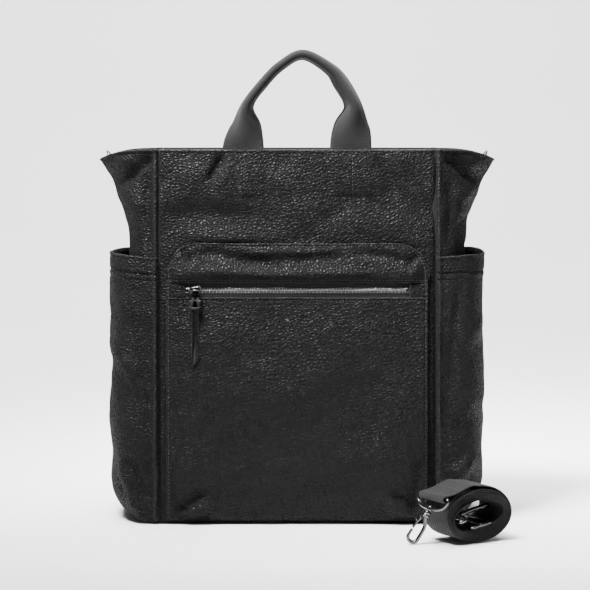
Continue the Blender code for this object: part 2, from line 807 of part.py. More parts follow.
def make_snap():
    """The two halves of the magnetic snap, on the facing at the middle of the rim."""
    stand = INSIDE + FACING + GAP + SNAP_THICKNESS / 2
    for name, side in (("top_snap_socket", -1), ("top_snap_stud", 1)):
        disc = cylinder(name, SNAP_RADIUS, SNAP_THICKNESS, GUNMETAL, sides=32)
        slope = math.atan((half_depth(SNAP_Z - SNAP_RADIUS) - half_depth(SNAP_Z + SNAP_RADIUS))
                          / (2 * SNAP_RADIUS))
        disc.location = (0, side * (half_depth(SNAP_Z) - stand - 3 * GAP), SNAP_Z)
        disc.rotation_euler = (math.pi / 2 + side * slope, 0, 0)


def oval(half_length, half_height, steps, tilt_deg=0):
    """Points round an oval at the middle of the roll, its right end lifted by the tilt."""
    tilt = math.radians(tilt_deg)
    points = []
    for step in range(steps):
        along = half_length * math.cos(math.tau * step / steps)
        up = half_height * math.sin(math.tau * step / steps)
        points.append((
            along * math.cos(tilt) - up * math.sin(tilt),
            ROLL_HALF_HEIGHT + along * math.sin(tilt) + up * math.cos(tilt),
        ))
    return points


def make_eye(name, hub, drop):
    """A wire eye whose bar lies in the webbing's end loop, with a stem for the hook to turn on.

    hub is at the bar with its -Z towards the hook. drop is the stem's direction in that frame.
    """
    half = EYE_INNER_WIDTH / 2 + EYE_WIRE
    bend = [(0, across * half, -down * EYE_DEPTH) for across, down in EYE_BENDS]
    mirrored = [(x, -y, z) for x, y, z in bend[-2::-1]]
    eye = as_mesh(wire(name, bend + mirrored, EYE_WIRE, GUNMETAL, hub))
    turn = Vector((0, 0, -1)).rotation_difference(drop).to_matrix().to_4x4()
    for part, radius, start, length in (
        ("boss", BOSS_RADIUS, -BOSS_LENGTH / 2, BOSS_LENGTH),
        ("stem", STEM_RADIUS, 0.0, BOSS_LENGTH / 2 + RUNNING_GAP + STEM_LENGTH),
    ):
        post = cylinder(f"{name}_{part}", radius, length, GUNMETAL, hub, sides=16)
        middle = Vector((0, 0, -EYE_DEPTH)) + drop * (start + length / 2)
        post.matrix_local = Matrix.Translation(middle) @ turn
        combine(eye, post, "UNION")


def make_hook(prefix, hub):
    """A snap hook that hangs along the hub's -Z: barrel, bent body and sprung gate."""
    top = -(BOSS_LENGTH / 2 + RUNNING_GAP)
    barrel_foot = top - BARREL_LENGTH
    tip = -HOOK_LENGTH
    bend_z = tip + HOOK_HALF_WIDTH
    nose_z = bend_z + HOOK_NOSE
    body = [(0.0, barrel_foot + HOOK_ROOT)]
    body += [(HOOK_HALF_WIDTH * share, barrel_foot - drop) for share, drop in HOOK_SHOULDERS]
    body += arc((0, bend_z), HOOK_HALF_WIDTH, 0, -180, 9)
    body += [(-HOOK_HALF_WIDTH, nose_z)]
    points = [(x, 0, z) for x, z in body]
    hook = as_mesh(wire(f"{prefix}_hook", points, HOOK_WIRE, GUNMETAL, hub, closed=False))
    barrel = cylinder(f"{prefix}_barrel", BARREL_RADIUS, BARREL_LENGTH, GUNMETAL, hub, sides=20)
    barrel.location = (0, 0, top - BARREL_LENGTH / 2)
    combine(hook, barrel, "UNION")
    bore_depth = STEM_LENGTH + RUNNING_GAP
    bore = cylinder(f"{prefix}_bore", STEM_RADIUS + RUNNING_GAP, 2 * bore_depth, GUNMETAL, hub, 16)
    bore.location = (0, 0, top)
    combine(hook, bore, "DIFFERENCE")
    gate_top = Vector((-HOOK_HALF_WIDTH * GATE_TOP_SHARE, 0, barrel_foot - GATE_WIRE - RUNNING_GAP))
    gate_foot = Vector((-HOOK_HALF_WIDTH, 0, nose_z + HOOK_WIRE * 0.5 + RUNNING_GAP))
    gate = wire(
        f"{prefix}_gate", [(0, 0, 0), tuple(gate_foot - gate_top)], GATE_WIRE, GUNMETAL, hub,
        closed=False,
    )
    gate.location = gate_top


def make_strap():
    roll_hub = bpy.data.objects.new("strap_frame", None)
    PARTS.objects.link(roll_hub)
    roll_hub.location = (*ROLL_AT, 0)
    roll_hub.rotation_euler = (0, 0, math.radians(ROLL_TURN_DEG))
    outer = oval(ROLL_HALF_LENGTH, ROLL_HALF_HEIGHT, 40)
    inner = oval(CORE_HALF_LENGTH, CORE_HALF_HEIGHT, 32, CORE_TILT_DEG)
    outline_solid("strap_roll", [outer, inner], STRAP_WIDTH, WOVEN, roll_hub)

    # The end of the webbing leaves the top of the roll and is sewn back round the eye's bar.
    loop_inner = EYE_WIRE + RUNNING_GAP
    loop_outer = loop_inner + STRAP_PLY
    bar_z = roll_top(EYE_BAR_X * EYE_BAR_LEVEL_SHARE) + GAP + loop_outer
    bar = Vector((EYE_BAR_X, 0, bar_z))
    under = [(x, roll_top(x) + 2 * GAP) for x in END_TAB_STEPS]
    over = [(x, roll_top(x) + 2 * GAP + STRAP_PLY * 2) for x in END_TAB_STEPS[::-1]]
    bow = arc((bar.x, bar.z), loop_outer, 60, 300, 14)
    outline_solid(
        "strap_end_tab",
        [bow + under + over, arc((bar.x, bar.z), loop_inner, 0, 330, 11)],
        STRAP_WIDTH, WOVEN, roll_hub,
    )

    hang = math.radians(EYE_HANG_DEG)
    eye_hub = bpy.data.objects.new("hook_eye_frame", None)
    PARTS.objects.link(eye_hub)
    eye_hub.parent = roll_hub
    eye_hub.matrix_local = Matrix.Translation(bar) @ Matrix.Rotation(hang, 4, "Y")
    post = bar + Vector((-math.sin(hang), 0, -math.cos(hang))) * EYE_DEPTH
    drop = min(0.99, (post.z - HOOK_WIRE - HOOK_FLOOR_GAP) / HOOK_LENGTH)
    heading = math.radians(HOOK_HEADING_DEG)
    level = math.sqrt(1 - drop * drop)
    aim = Vector((level * math.cos(heading), level * math.sin(heading), -drop))
    make_eye("strap_eye", eye_hub, Matrix.Rotation(-hang, 3, "Y") @ aim)
    hang_hook("strap", roll_hub, post, aim, Matrix.Rotation(-roll_hub.rotation_euler.z, 3, "Z"))

    # The strap's other end lies in the hollow: an eye, its hook and the length adjuster.
    core = bpy.data.objects.new("roll_core", None)
    PARTS.objects.link(core)
    core.parent = roll_hub
    core.matrix_local = Matrix.Translation((0, 0, ROLL_HALF_HEIGHT)) @ Matrix.Rotation(
        -math.radians(CORE_TILT_DEG), 4, "Y")
    inner_hub = bpy.data.objects.new("inner_eye_frame", None)
    PARTS.objects.link(inner_hub)
    inner_hub.parent = core
    start = -(EYE_DEPTH + HOOK_LENGTH) / 2
    inner_hub.matrix_local = Matrix.Translation((start, 0, 0)) @ Matrix.Rotation(
        -math.pi / 2, 4, "Y")
    make_eye("strap_inner_eye", inner_hub, Vector((0, 0, -1)))
    hang_hook("strap_inner", core, Vector((start + EYE_DEPTH, 0, 0)), Vector((1, 0, 0)),
              Matrix.Rotation(math.radians(INNER_FACING_DEG), 3, "X"))

    half = STRAP_WIDTH / 2 + ADJUSTER_WIRE
    frame_half = ADJUSTER_LENGTH / 2
    adjuster = as_mesh(wire(
        "strap_adjuster",
        [(-frame_half, -half, 0), (frame_half, -half, 0),
         (frame_half, half, 0), (-frame_half, half, 0)],
        ADJUSTER_WIRE, GUNMETAL, core,
    ))
    middle_bar = as_mesh(wire(
        "adjuster_bar", [(0, -half, 0), (0, half, 0)], ADJUSTER_WIRE, GUNMETAL, core,
        closed=False,
    ))
    combine(adjuster, middle_bar, "UNION")
    for piece in (adjuster, middle_bar):
        piece.location = (0, 0, -ADJUSTER_DROP)


def roll_top(x):
    """Height of the top of the roll at x along it."""
    return ROLL_HALF_HEIGHT * (1 + math.sqrt(max(0.0, 1 - (x / ROLL_HALF_LENGTH) ** 2)))


def hang_hook(prefix, parent, post, aim, facing):
    """Places a hook with its -Z along aim from the post, its flat side facing along facing's Y."""
    up = -aim.normalized()
    flat = facing @ Vector((0, 1, 0))
    flat = (flat - up * flat.dot(up)).normalized()
    hub = bpy.data.objects.new(f"{prefix}_hook_frame", None)
    PARTS.objects.link(hub)
    hub.parent = parent
    axes = Matrix((flat.cross(up), flat, up)).transposed().to_4x4()
    hub.matrix_local = Matrix.Translation(post) @ axes
    make_hook(prefix, hub)


def make_bag():
    make_walls()
    make_base()
    make_inside()
    make_front_pocket()
    make_slider(*make_zip())
    make_side_pockets()
    make_back_pocket()
    make_handles()
    make_wing_rings()
    make_snap()
    make_strap()


make_bag()
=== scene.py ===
import json
import math

import bpy
import numpy as np
from mathutils import Matrix, Vector


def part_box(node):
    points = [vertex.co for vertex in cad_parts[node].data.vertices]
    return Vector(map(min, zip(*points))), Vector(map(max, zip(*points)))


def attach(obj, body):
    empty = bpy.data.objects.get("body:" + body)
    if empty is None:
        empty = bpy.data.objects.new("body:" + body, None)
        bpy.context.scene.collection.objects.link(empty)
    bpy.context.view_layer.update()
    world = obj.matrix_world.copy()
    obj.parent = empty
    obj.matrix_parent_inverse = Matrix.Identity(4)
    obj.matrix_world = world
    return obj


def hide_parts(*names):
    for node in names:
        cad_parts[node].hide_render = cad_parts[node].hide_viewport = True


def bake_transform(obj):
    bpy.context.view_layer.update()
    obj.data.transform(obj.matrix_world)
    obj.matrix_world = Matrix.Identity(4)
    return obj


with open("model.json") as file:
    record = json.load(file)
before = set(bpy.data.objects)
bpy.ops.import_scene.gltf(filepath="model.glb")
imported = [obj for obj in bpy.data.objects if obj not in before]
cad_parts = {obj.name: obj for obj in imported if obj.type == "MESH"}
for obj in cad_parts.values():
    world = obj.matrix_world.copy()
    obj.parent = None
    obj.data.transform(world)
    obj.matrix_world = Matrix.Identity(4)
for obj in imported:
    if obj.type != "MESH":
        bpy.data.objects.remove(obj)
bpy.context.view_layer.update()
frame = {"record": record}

# ---------------------------------------------------------------- sizes, in metres
RIM_Z = 0.357
RIM_HALF_DEPTH = 0.050
BASE_HALF_DEPTH = 0.077
WAIST_Z = 0.259
WAIST_REACH = 0.163
WING_FLARE = 0.030
SEAM_X = 0.132
SEAM_GAP = 0.0003
FLANGE = 0.004
LEATHER = 0.0020
WALL_FOOT = 0.0023
MOUTH_Z = 0.257
FOOT_Z = 0.314
HANDLE_X = 0.052
POCKET_X = 0.1244
POCKET_TOP = 0.268
POCKET_CORNER = 0.030
POCKET_STAND = 0.0040
STITCH_IN = 0.0022
BACK_POCKET_X = 0.112
BACK_POCKET_FOOT = 0.045
BACK_POCKET_TOP = 0.245
BACK_POCKET_HEM = 0.2300
INNER_POCKET_X = 0.095
INNER_POCKET_FOOT = 0.110
INNER_POCKET_TOP = 0.250
INNER_POCKET_HEM = 0.238
ZIP_Z = 0.2235
WINDOW_FOOT = 0.2170
WINDOW_TOP = 0.2300
ZIP_HALF = 0.1062
TEETH_HALF = 0.1026
TOOTH_PITCH = 0.0034
HANDLE_WIDTH = 0.0385
GRIP_WIDTH = 0.0085
RING_SEAT_X = 0.1765
RING_DROP = 0.0175
THREAD = 0.00030

# ---------------------------------------------------------------- small helpers


def smooth(share):
    share = np.clip(share, 0.0, 1.0)
    return share * share * (3 - 2 * share)


def bump(value, middle, width):
    return np.exp(-((value - middle) / width) ** 2)


def round_in(z, height):
    share = np.clip(1 - z / height, 0.0, 1.0)
    return 1 - np.sqrt(1 - share**2)


def marks(low, high, step, fine=()):
    """Places from low to high, closer together at both ends and beside each place in fine."""
    places = list(np.linspace(low, high, int(round((high - low) / step)) + 1))
    for middle in (low, high, *fine):
        for away in (0.0, 0.0005, 0.0010, 0.0016, 0.0024):
            places += [middle - away, middle + away]
    places = sorted(p for p in places if low <= p <= high)
    kept = [places[0]]
    for place in places[1:]:
        if place - kept[-1] > 0.00035:
            kept.append(place)
    kept[-1] = high
    return np.array(kept)


def ripple(points, size, seed, waves=10):
    """A smooth uneven field of about -1 to 1, its swells about size across."""
    draw = np.random.default_rng(seed)
    lines = draw.normal(size=(waves, 3))
    lines /= np.linalg.norm(lines, axis=1)[:, None]
    lines *= (math.tau / size * draw.uniform(0.55, 1.35, waves))[:, None]
    swell = np.sin(points @ lines.T + draw.uniform(0, math.tau, waves))
    return swell.sum(-1) / math.sqrt(waves)


def beside(x, z, path):
    """Signed distance of each place from a path of (x, z) points, and its share along the path."""
    path = np.array(path, float)
    lengths = np.linalg.norm(np.diff(path, axis=0), axis=1)
    before = np.concatenate([[0], np.cumsum(lengths)])
    near = np.full(x.shape, 1e9)
    signed = np.zeros(x.shape)
    along = np.zeros(x.shape)
    for start, end, length, run in zip(path, path[1:], lengths, before):
        line = (end - start) / length
        dx, dz = x - start[0], z - start[1]
        t = np.clip(dx * line[0] + dz * line[1], 0, length)
        off = np.hypot(dx - t * line[0], dz - t * line[1])
        side = np.sign(line[0] * dz - line[1] * dx)
        better = off < near
        near = np.where(better, off, near)
        signed = np.where(better, off * side, signed)
        along = np.where(better, (run + t) / before[-1], along)
    return signed, along


def fold(x, z, path, width, height, lean=0.0):
    """A ridge, or a valley where height is negative, that fades at both ends. lean makes one flank steep."""
    off, along = beside(x, z, path)
    fade = np.clip(5 * along * (1 - along) + 0.12, 0, 1)
    width = np.where(off > 0, width * (1 + lean), width * (1 - lean))
    return height * fade * np.exp(-((off / width) ** 2))


def folds(x, z, table):
    """Several folds together; each row is a path, a width, a height and perhaps a lean."""
    return sum(fold(x, z, *row) for row in table)


def swell(x, z, middle, size, height):
    """A soft mound, or a hollow where height is negative."""
    away = ((x - middle[0]) / size[0]) ** 2 + ((z - middle[1]) / size[1]) ** 2
    return height * np.exp(-away)


def grid_faces(rows, columns, closed=False, start=0):
    row = np.arange(rows - 1)[:, None] * columns
    column = np.arange(columns if closed else columns - 1)[None, :]
    after = (column + 1) % columns
    quads = [row + column, row + after, row + columns + after, row + columns + column]
    return np.stack(quads, -1).reshape(-1, 4) + start


def steps_between(points, axis):
    return np.linalg.norm(np.diff(points, axis=axis), axis=-1)


def normals_of(points, closed=False):
    """Outward normals of a grid whose rows go up and whose columns go anticlockwise round the bag."""
    if closed:
        along = np.roll(points, -1, 1) - np.roll(points, 1, 1)
    else:
        along = np.gradient(points, axis=1)
    out = np.cross(along, np.gradient(points, axis=0))
    return out / np.maximum(np.linalg.norm(out, axis=-1), 1e-12)[..., None]


def piece(name, points, faces, finish, slot, body=None, nodes=()):
    mesh = bpy.data.meshes.new(name)
    mesh.from_pydata(np.asarray(points).reshape(-1, 3).tolist(), [], [list(f) for f in faces])
    mesh.polygons.foreach_set("use_smooth", np.ones(len(mesh.polygons), bool))
    mesh.update()
    mesh.materials.append(finish)
    item = bpy.data.objects.new(name, mesh)
    bpy.context.scene.collection.objects.link(item)
    if nodes:
        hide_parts(*nodes)
    if body:
        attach(item, body)
    return item


def note(item, name, values):
    """Keeps a number for each point of the mesh, for its material to read."""
    values = np.asarray(values, np.float32)
    kind = "FLOAT_VECTOR" if values.ndim == 2 else "FLOAT"
    layer = item.data.attributes.new(name, kind, "POINT")
    layer.data.foreach_set("vector" if values.ndim == 2 else "value", values.ravel())


def shell(name, face, thickness, finish, slot, body, nodes=(), closed=False, rub=None):
    """A sheet of leather or cloth with rounded edges; face is the grid of its outer side."""
    rows, columns = face.shape[:2]
    normal = normals_of(face, closed)
    radius = 0.6 * thickness
    up = np.concatenate([np.zeros((1, columns)), np.cumsum(steps_between(face, 0), 0)])
    edge = np.minimum(up, up[-1] - up)
    if not closed:
        across = np.concatenate([np.zeros((rows, 1)), np.cumsum(steps_between(face, 1), 1)], 1)
        edge = np.minimum(edge, np.minimum(across, across[:, -1:] - across))
    sink = (1 - np.clip(edge / radius, 0, 1)) ** 2 * 0.32
    outer = face - normal * (thickness * sink)[..., None]
    inner = face - normal * (thickness * (1 - sink))[..., None]
    count = rows * columns
    faces = [grid_faces(rows, columns, closed)]
    faces.append(grid_faces(rows, columns, closed, count)[:, ::-1])
    last = columns if closed else columns - 1
    j = np.arange(last)
    after = (j + 1) % columns
    top = (rows - 1) * columns
    faces.append(np.stack([after, j, j + count, after + count], -1))
    faces.append(np.stack([j + top, after + top, after + top + count, j + top + count], -1))
    if not closed:
        i = np.arange(rows - 1) * columns
        right = i + columns - 1
        faces.append(np.stack([i, i + columns, i + columns + count, i + count], -1))
        faces.append(
            np.stack([right + columns, right, right + count, right + columns + count], -1)
        )
    item = piece(
        name, np.concatenate([outer.reshape(-1, 3), inner.reshape(-1, 3)]),
        np.concatenate(faces), finish, slot, body, nodes,
    )
    wear = (1 - np.clip(edge / 0.0022, 0, 1)) ** 1.5
    if rub is not None:
        wear = np.clip(wear + rub, 0, 1)
    note(item, "rub", np.concatenate([wear.ravel(), wear.ravel()]))
    return item


def frames_along(path, closed=False):
    """Tangent and two side directions at each point of a path, turning as little as possible."""
    if closed:
        tangent = np.roll(path, -1, 0) - np.roll(path, 1, 0)
    else:
        tangent = np.gradient(path, axis=0)
    tangent /= np.linalg.norm(tangent, axis=1)[:, None]
    start = np.cross(tangent[0], [0.13, 0.29, 0.95])
    side = [start / np.linalg.norm(start)]
    for line in tangent[1:]:
        step = side[-1] - line * side[-1].dot(line)
        side.append(step / np.linalg.norm(step))
    side = np.array(side)
    return tangent, side, np.cross(tangent, side)


def tube(path, radius, closed=False, sides=12, flat=1.0):
    """Points and faces of a round wire along a path; radius may be a number for each point."""
    path = np.asarray(path, float)
    _, side, other = frames_along(path, closed)
    angle = np.arange(sides) / sides * math.tau
    radius = np.broadcast_to(radius, len(path))[:, None, None]
    ring = side[:, None] * np.cos(angle)[None, :, None] * flat
    ring = (ring + other[:, None] * np.sin(angle)[None, :, None]) * radius
    points = (path[:, None] + ring).reshape(-1, 3)
    faces = [list(f) for f in grid_faces(len(path), sides, True)]
    last = (len(path) - 1) * sides
    if closed:
        faces += [[last + k, last + (k + 1) % sides, (k + 1) % sides, k] for k in range(sides)]
    else:
        faces += [list(range(sides))[::-1], [last + k for k in range(sides)]]
    return points, faces


def turned(profile, sides=32):
    """Points and faces of a round part from (radius, height) pairs, its ends closed."""
    angle = np.arange(sides) / sides * math.tau
    points = [
        [(r * math.cos(a), r * math.sin(a), h) for a in angle] for r, h in profile
    ]
    faces = [list(f) for f in grid_faces(len(profile), sides, True)]
    last = (len(profile) - 1) * sides
    faces += [list(range(sides))[::-1], [last + k for k in range(sides)]]
    return np.array(points).reshape(-1, 3), faces


def plate(outline, thickness, edge):
    """Points and faces of a flat part in X-Z with rounded edges, its outline anticlockwise seen from -Y."""
    outline = np.array(outline, float)
    ahead = np.roll(outline, -1, 0) - outline
    behind = outline - np.roll(outline, 1, 0)
    ahead /= np.linalg.norm(ahead, axis=1)[:, None]
    behind /= np.linalg.norm(behind, axis=1)[:, None]
    mean = ahead + behind
    mean /= np.linalg.norm(mean, axis=1)[:, None]
    inward = np.stack([-mean[:, 1], mean[:, 0]], -1)
    reach = 1 / np.maximum(0.5, (ahead * mean).sum(1))
    half = thickness / 2
    turns = np.linspace(0, math.pi / 2, 4)
    levels = [(edge * (1 - math.sin(t)), -half + edge * (1 - math.cos(t))) for t in turns]
    levels += [(inset, -y) for inset, y in levels[::-1]]
    rows = []
    for inset, y in levels:
        at = outline + inward * (inset * reach)[:, None]
        rows.append(np.stack([at[:, 0], np.full(len(at), y), at[:, 1]], -1))
    count = len(outline)
    faces = [list(f)[::-1] for f in grid_faces(len(rows), count, True)]
    faces += [list(range(count)), [(len(rows) - 1) * count + k for k in range(count)][::-1]]
    return np.concatenate(rows), [f[::-1] for f in faces][:-2] + faces[-2:]


def joined(*parts):
    """Several (points, faces) parts as one."""
    points, faces, start = [], [], 0
    for some, ways in parts:
        points.append(np.asarray(some).reshape(-1, 3))
        faces += [[int(k) + start for k in way] for way in ways]
        start += len(points[-1])
    return np.concatenate(points), faces


def moved(part, matrix):
    points, faces = part
    matrix = np.array(matrix)
    return np.asarray(points) @ matrix[:3, :3].T + matrix[:3, 3], faces


def curved(points, steps):
    """A smooth curve through the points, steps places on each stretch."""
    points = np.asarray(points, float)
    ends = np.concatenate([[2 * points[0] - points[1]], points, [2 * points[-1] - points[-2]]])
    out = []
    for a, b, c, d in zip(ends, ends[1:], ends[2:], ends[3:]):
        for t in np.arange(steps) / steps:
            out.append(0.5 * (
                2 * b + (c - a) * t + (2 * a - 5 * b + 4 * c - d) * t * t
                + (3 * b - a - 3 * c + d) * t**3
            ))
    return np.array(out + [points[-1]])


def even_places(path, gap):
    """Points gap apart along a path."""
    lengths = np.concatenate([[0], np.cumsum(np.linalg.norm(np.diff(path, axis=0), axis=1))])
    count = max(2, int(lengths[-1] / gap))
    wanted = np.linspace(0, lengths[-1], count)
    return np.stack([np.interp(wanted, lengths, path[:, k]) for k in range(3)], -1)


def stitches(path, out, pitch=0.0034, length=0.0025, thread=THREAD):
    """Sewn stitches along a path; out is the surface's outward direction, one for all or one each."""
    places = even_places(path, pitch)
    lines = np.gradient(places, axis=0)
    lines /= np.linalg.norm(lines, axis=1)[:, None]
    out = np.broadcast_to(np.asarray(out, float), (len(path), 3))
    share = np.linspace(0, len(path) - 1, len(places))
    out = np.stack([np.interp(share, np.arange(len(path)), out[:, k]) for k in range(3)], -1)
    angle = np.arange(6) / 6 * math.tau
    spans = np.array([-1.0, -0.86, -0.45, 0.0, 0.45, 0.86, 1.0])
    fat = np.array([0.35, 0.85, 1.0, 1.0, 1.0, 0.85, 0.35]) * thread
    arch = -(spans**4) * thread * 1.7
    points, faces = [], []
    for place, line, up in zip(places, lines, out):
        side = np.cross(up, line)
        start = 6 * 7 * (len(points))
        centre = place + line * (spans * length / 2)[:, None] + up * (arch + thread * 0.25)[:, None]
        ring = side * np.cos(angle)[:, None] + up * np.sin(angle)[:, None]
        points.append((centre[:, None] + ring[None] * fat[:, None, None]).reshape(-1, 3))
        faces += [list(f) for f in grid_faces(7, 6, True, start)]
        faces += [[start + k for k in range(6)][::-1], [start + 36 + k for k in range(6)]]
    return np.concatenate(points), faces


# ---------------------------------------------------------------- finishes


class Nodes:
    """Short ways to add and join the nodes of a material or a group."""

    def __init__(self, tree):
        self.tree = tree

    def add(self, kind, settings=None, **values):
        node = self.tree.nodes.new(kind)
        for key, value in (settings or {}).items():
            setattr(node, key, value)
        for key, value in values.items():
            socket = node.inputs[int(key[1:]) if key[0] == "i" and key[1:].isdigit() else key]
            if isinstance(value, bpy.types.NodeSocket):
                self.tree.links.new(value, socket)
            else:
                socket.default_value = value
        return node

    def math(self, way, a, b=0.0, clamp=False):
        return self.add(
            "ShaderNodeMath", {"operation": way, "use_clamp": clamp}, i0=a, i1=b
        ).outputs[0]

    def vector(self, way, a, b):
        return self.add("ShaderNodeVectorMath", {"operation": way}, i0=a, i1=b).outputs[0]

    def noise(self, vector, scale, detail=2.0, roughness=0.5):
        return self.add(
            "ShaderNodeTexNoise", Vector=vector, Scale=scale, Detail=detail, Roughness=roughness
        )

    def ramp(self, value, low, high, start=0.0, end=1.0):
        node = self.add(
            "ShaderNodeMapRange", {"interpolation_type": "SMOOTHSTEP"}, Value=value
        )
        node.inputs["From Min"].default_value = low
        node.inputs["From Max"].default_value = high
        node.inputs["To Min"].default_value = start
        node.inputs["To Max"].default_value = end
        return node.outputs[0]

    def blend(self, share, a, b):
        node = self.add("ShaderNodeMix", {"data_type": "RGBA"})
        for key, value in ((0, share), (6, a), (7, b)):
            if isinstance(value, bpy.types.NodeSocket):
                self.tree.links.new(value, node.inputs[key])
            else:
                node.inputs[key].default_value = value
        return node.outputs[2]


def new_group(name, inputs, outputs):
    """A shader group with named number inputs, and its named outputs."""
    tree = bpy.data.node_groups.new(name, "ShaderNodeTree")
    for label, kind, value in inputs:
        socket = tree.interface.new_socket(label, in_out="INPUT", socket_type=kind)
        if value is not None:
            socket.default_value = value
    for label, kind in outputs:
        tree.interface.new_socket(label, in_out="OUTPUT", socket_type=kind)
    n = Nodes(tree)
    return tree, n, n.add("NodeGroupInput"), n.add("NodeGroupOutput")


def make_pebble_grain():
    """Tumbled leather: rounded pebbles of uneven size, with creases between them and fine pores."""
    tree, n, given, result = new_group(
        "pebble_grain",
        [("Vector", "NodeSocketVector", None), ("Pebbles per metre", "NodeSocketFloat", 330.0),
         ("Crease", "NodeSocketFloat", 0.16), ("Pores", "NodeSocketFloat", 0.02)],
        [("Height", "NodeSocketFloat"), ("Crease mask", "NodeSocketFloat"),
         ("Patches", "NodeSocketFloat")],
    )
    place = given.outputs["Vector"]
    sway = n.noise(place, 95.0, 2.0).outputs["Color"]
    sway = n.vector("SUBTRACT", sway, (0.5, 0.5, 0.5))
    place_bent = n.vector("ADD", place, n.vector("MULTIPLY", sway, (0.0042, 0.0042, 0.0042)))
    cells = n.add(
        "ShaderNodeTexVoronoi", {"feature": "DISTANCE_TO_EDGE"}, Vector=place_bent,
        Scale=given.outputs["Pebbles per metre"],
    ).outputs["Distance"]
    inward = n.math("SUBTRACT", 1.0, n.math("DIVIDE", cells, 0.42, True))
    dome = n.math("SUBTRACT", 1.0, n.math("MULTIPLY", inward, inward))
    crease = n.add("ShaderNodeMapRange", {"interpolation_type": "SMOOTHSTEP"}, Value=cells)
    tree.links.new(given.outputs["Crease"], crease.inputs["From Max"])
    pores = n.noise(place, 2600.0, 2.0).outputs[0]
    pores = n.math("MULTIPLY", pores, given.outputs["Pores"])
    patches = n.noise(place, 26.0, 3.0).outputs[0]
    swelling = n.math("ADD", n.math("MULTIPLY", patches, 0.5), 0.75)
    height = n.math("ADD", n.math("MULTIPLY", dome, swelling), pores)
    tree.links.new(height, result.inputs["Height"])
    tree.links.new(n.math("SUBTRACT", 1.0, crease.outputs[0]), result.inputs["Crease mask"])
    tree.links.new(patches, result.inputs["Patches"])
    return tree


def make_weave():
    """Woven threads crossing at right angles, over and under, from a place given in metres."""
    tree, n, given, result = new_group(
        "weave",
        [("Vector", "NodeSocketVector", None), ("Thread width", "NodeSocketFloat", 0.0009),
         ("Slant", "NodeSocketFloat", 0.0), ("Fuzz", "NodeSocketFloat", 0.2)],
        [("Height", "NodeSocketFloat"), ("Gap mask", "NodeSocketFloat"),
         ("Shade", "NodeSocketFloat")],
    )
    parts = n.add("ShaderNodeSeparateXYZ", Vector=given.outputs["Vector"])
    width = given.outputs["Thread width"]
    u = n.math("DIVIDE", parts.outputs[0], width)
    v = n.math("DIVIDE", parts.outputs[1], width)
    u = n.math("ADD", u, n.math("MULTIPLY", v, given.outputs["Slant"]))
    warp = n.math("ABSOLUTE", n.math("SINE", n.math("MULTIPLY", u, math.pi)))
    weft = n.math("ABSOLUTE", n.math("SINE", n.math("MULTIPLY", v, math.pi)))
    check = n.math("ADD", n.math("FLOOR", u), n.math("FLOOR", v))
    over = n.math("ABSOLUTE", n.math("MODULO", check, 2.0))
    under = n.math("SUBTRACT", 1.0, over)
    height = n.math("ADD", n.math("MULTIPLY", warp, over), n.math("MULTIPLY", weft, under))
    fuzz = n.noise(given.outputs["Vector"], 2600.0, 3.0).outputs[0]
    height = n.math("ADD", height, n.math("MULTIPLY", fuzz, given.outputs["Fuzz"]))
    gap = n.math("SUBTRACT", 1.0, n.math("MULTIPLY", warp, weft), True)
    tree.links.new(height, result.inputs["Height"])
    tree.links.new(gap, result.inputs["Gap mask"])
    tree.links.new(n.noise(given.outputs["Vector"], 60.0, 2.0).outputs[0], result.inputs["Shade"])
    return tree


def make_edge_wear():
    """How rubbed a place is, broken up by noise, from the rub numbers kept on the mesh."""
    tree, n, given, result = new_group(
        "edge_wear",
        [("Vector", "NodeSocketVector", None), ("Amount", "NodeSocketFloat", 1.0)],
        [("Wear", "NodeSocketFloat")],
    )
    rub = n.add("ShaderNodeAttribute", {"attribute_name": "rub"}).outputs["Fac"]
    broken = n.ramp(n.noise(given.outputs["Vector"], 420.0, 3.0).outputs[0], 0.35, 0.65)
    worn = n.math("MULTIPLY", rub, n.math("ADD", n.math("MULTIPLY", broken, 0.6), 0.4))
    tree.links.new(n.math("MULTIPLY", worn, given.outputs["Amount"]), result.inputs["Wear"])
    return tree


GRAIN = make_pebble_grain()
WEAVE = make_weave()
WEAR = make_edge_wear()


def begin(name, **constant):
    """A new material, its node helper, its shader with the constant settings, and its place in space."""
    material = bpy.data.materials.new(name)
    material.use_nodes = True
    n = Nodes(material.node_tree)
    shader = material.node_tree.nodes["Principled BSDF"]
    for key, value in constant.items():
        shader.inputs[key.replace("_", " ")].default_value = value
    place = n.add("ShaderNodeTexCoord").outputs["Object"]
    return material, n, shader, place


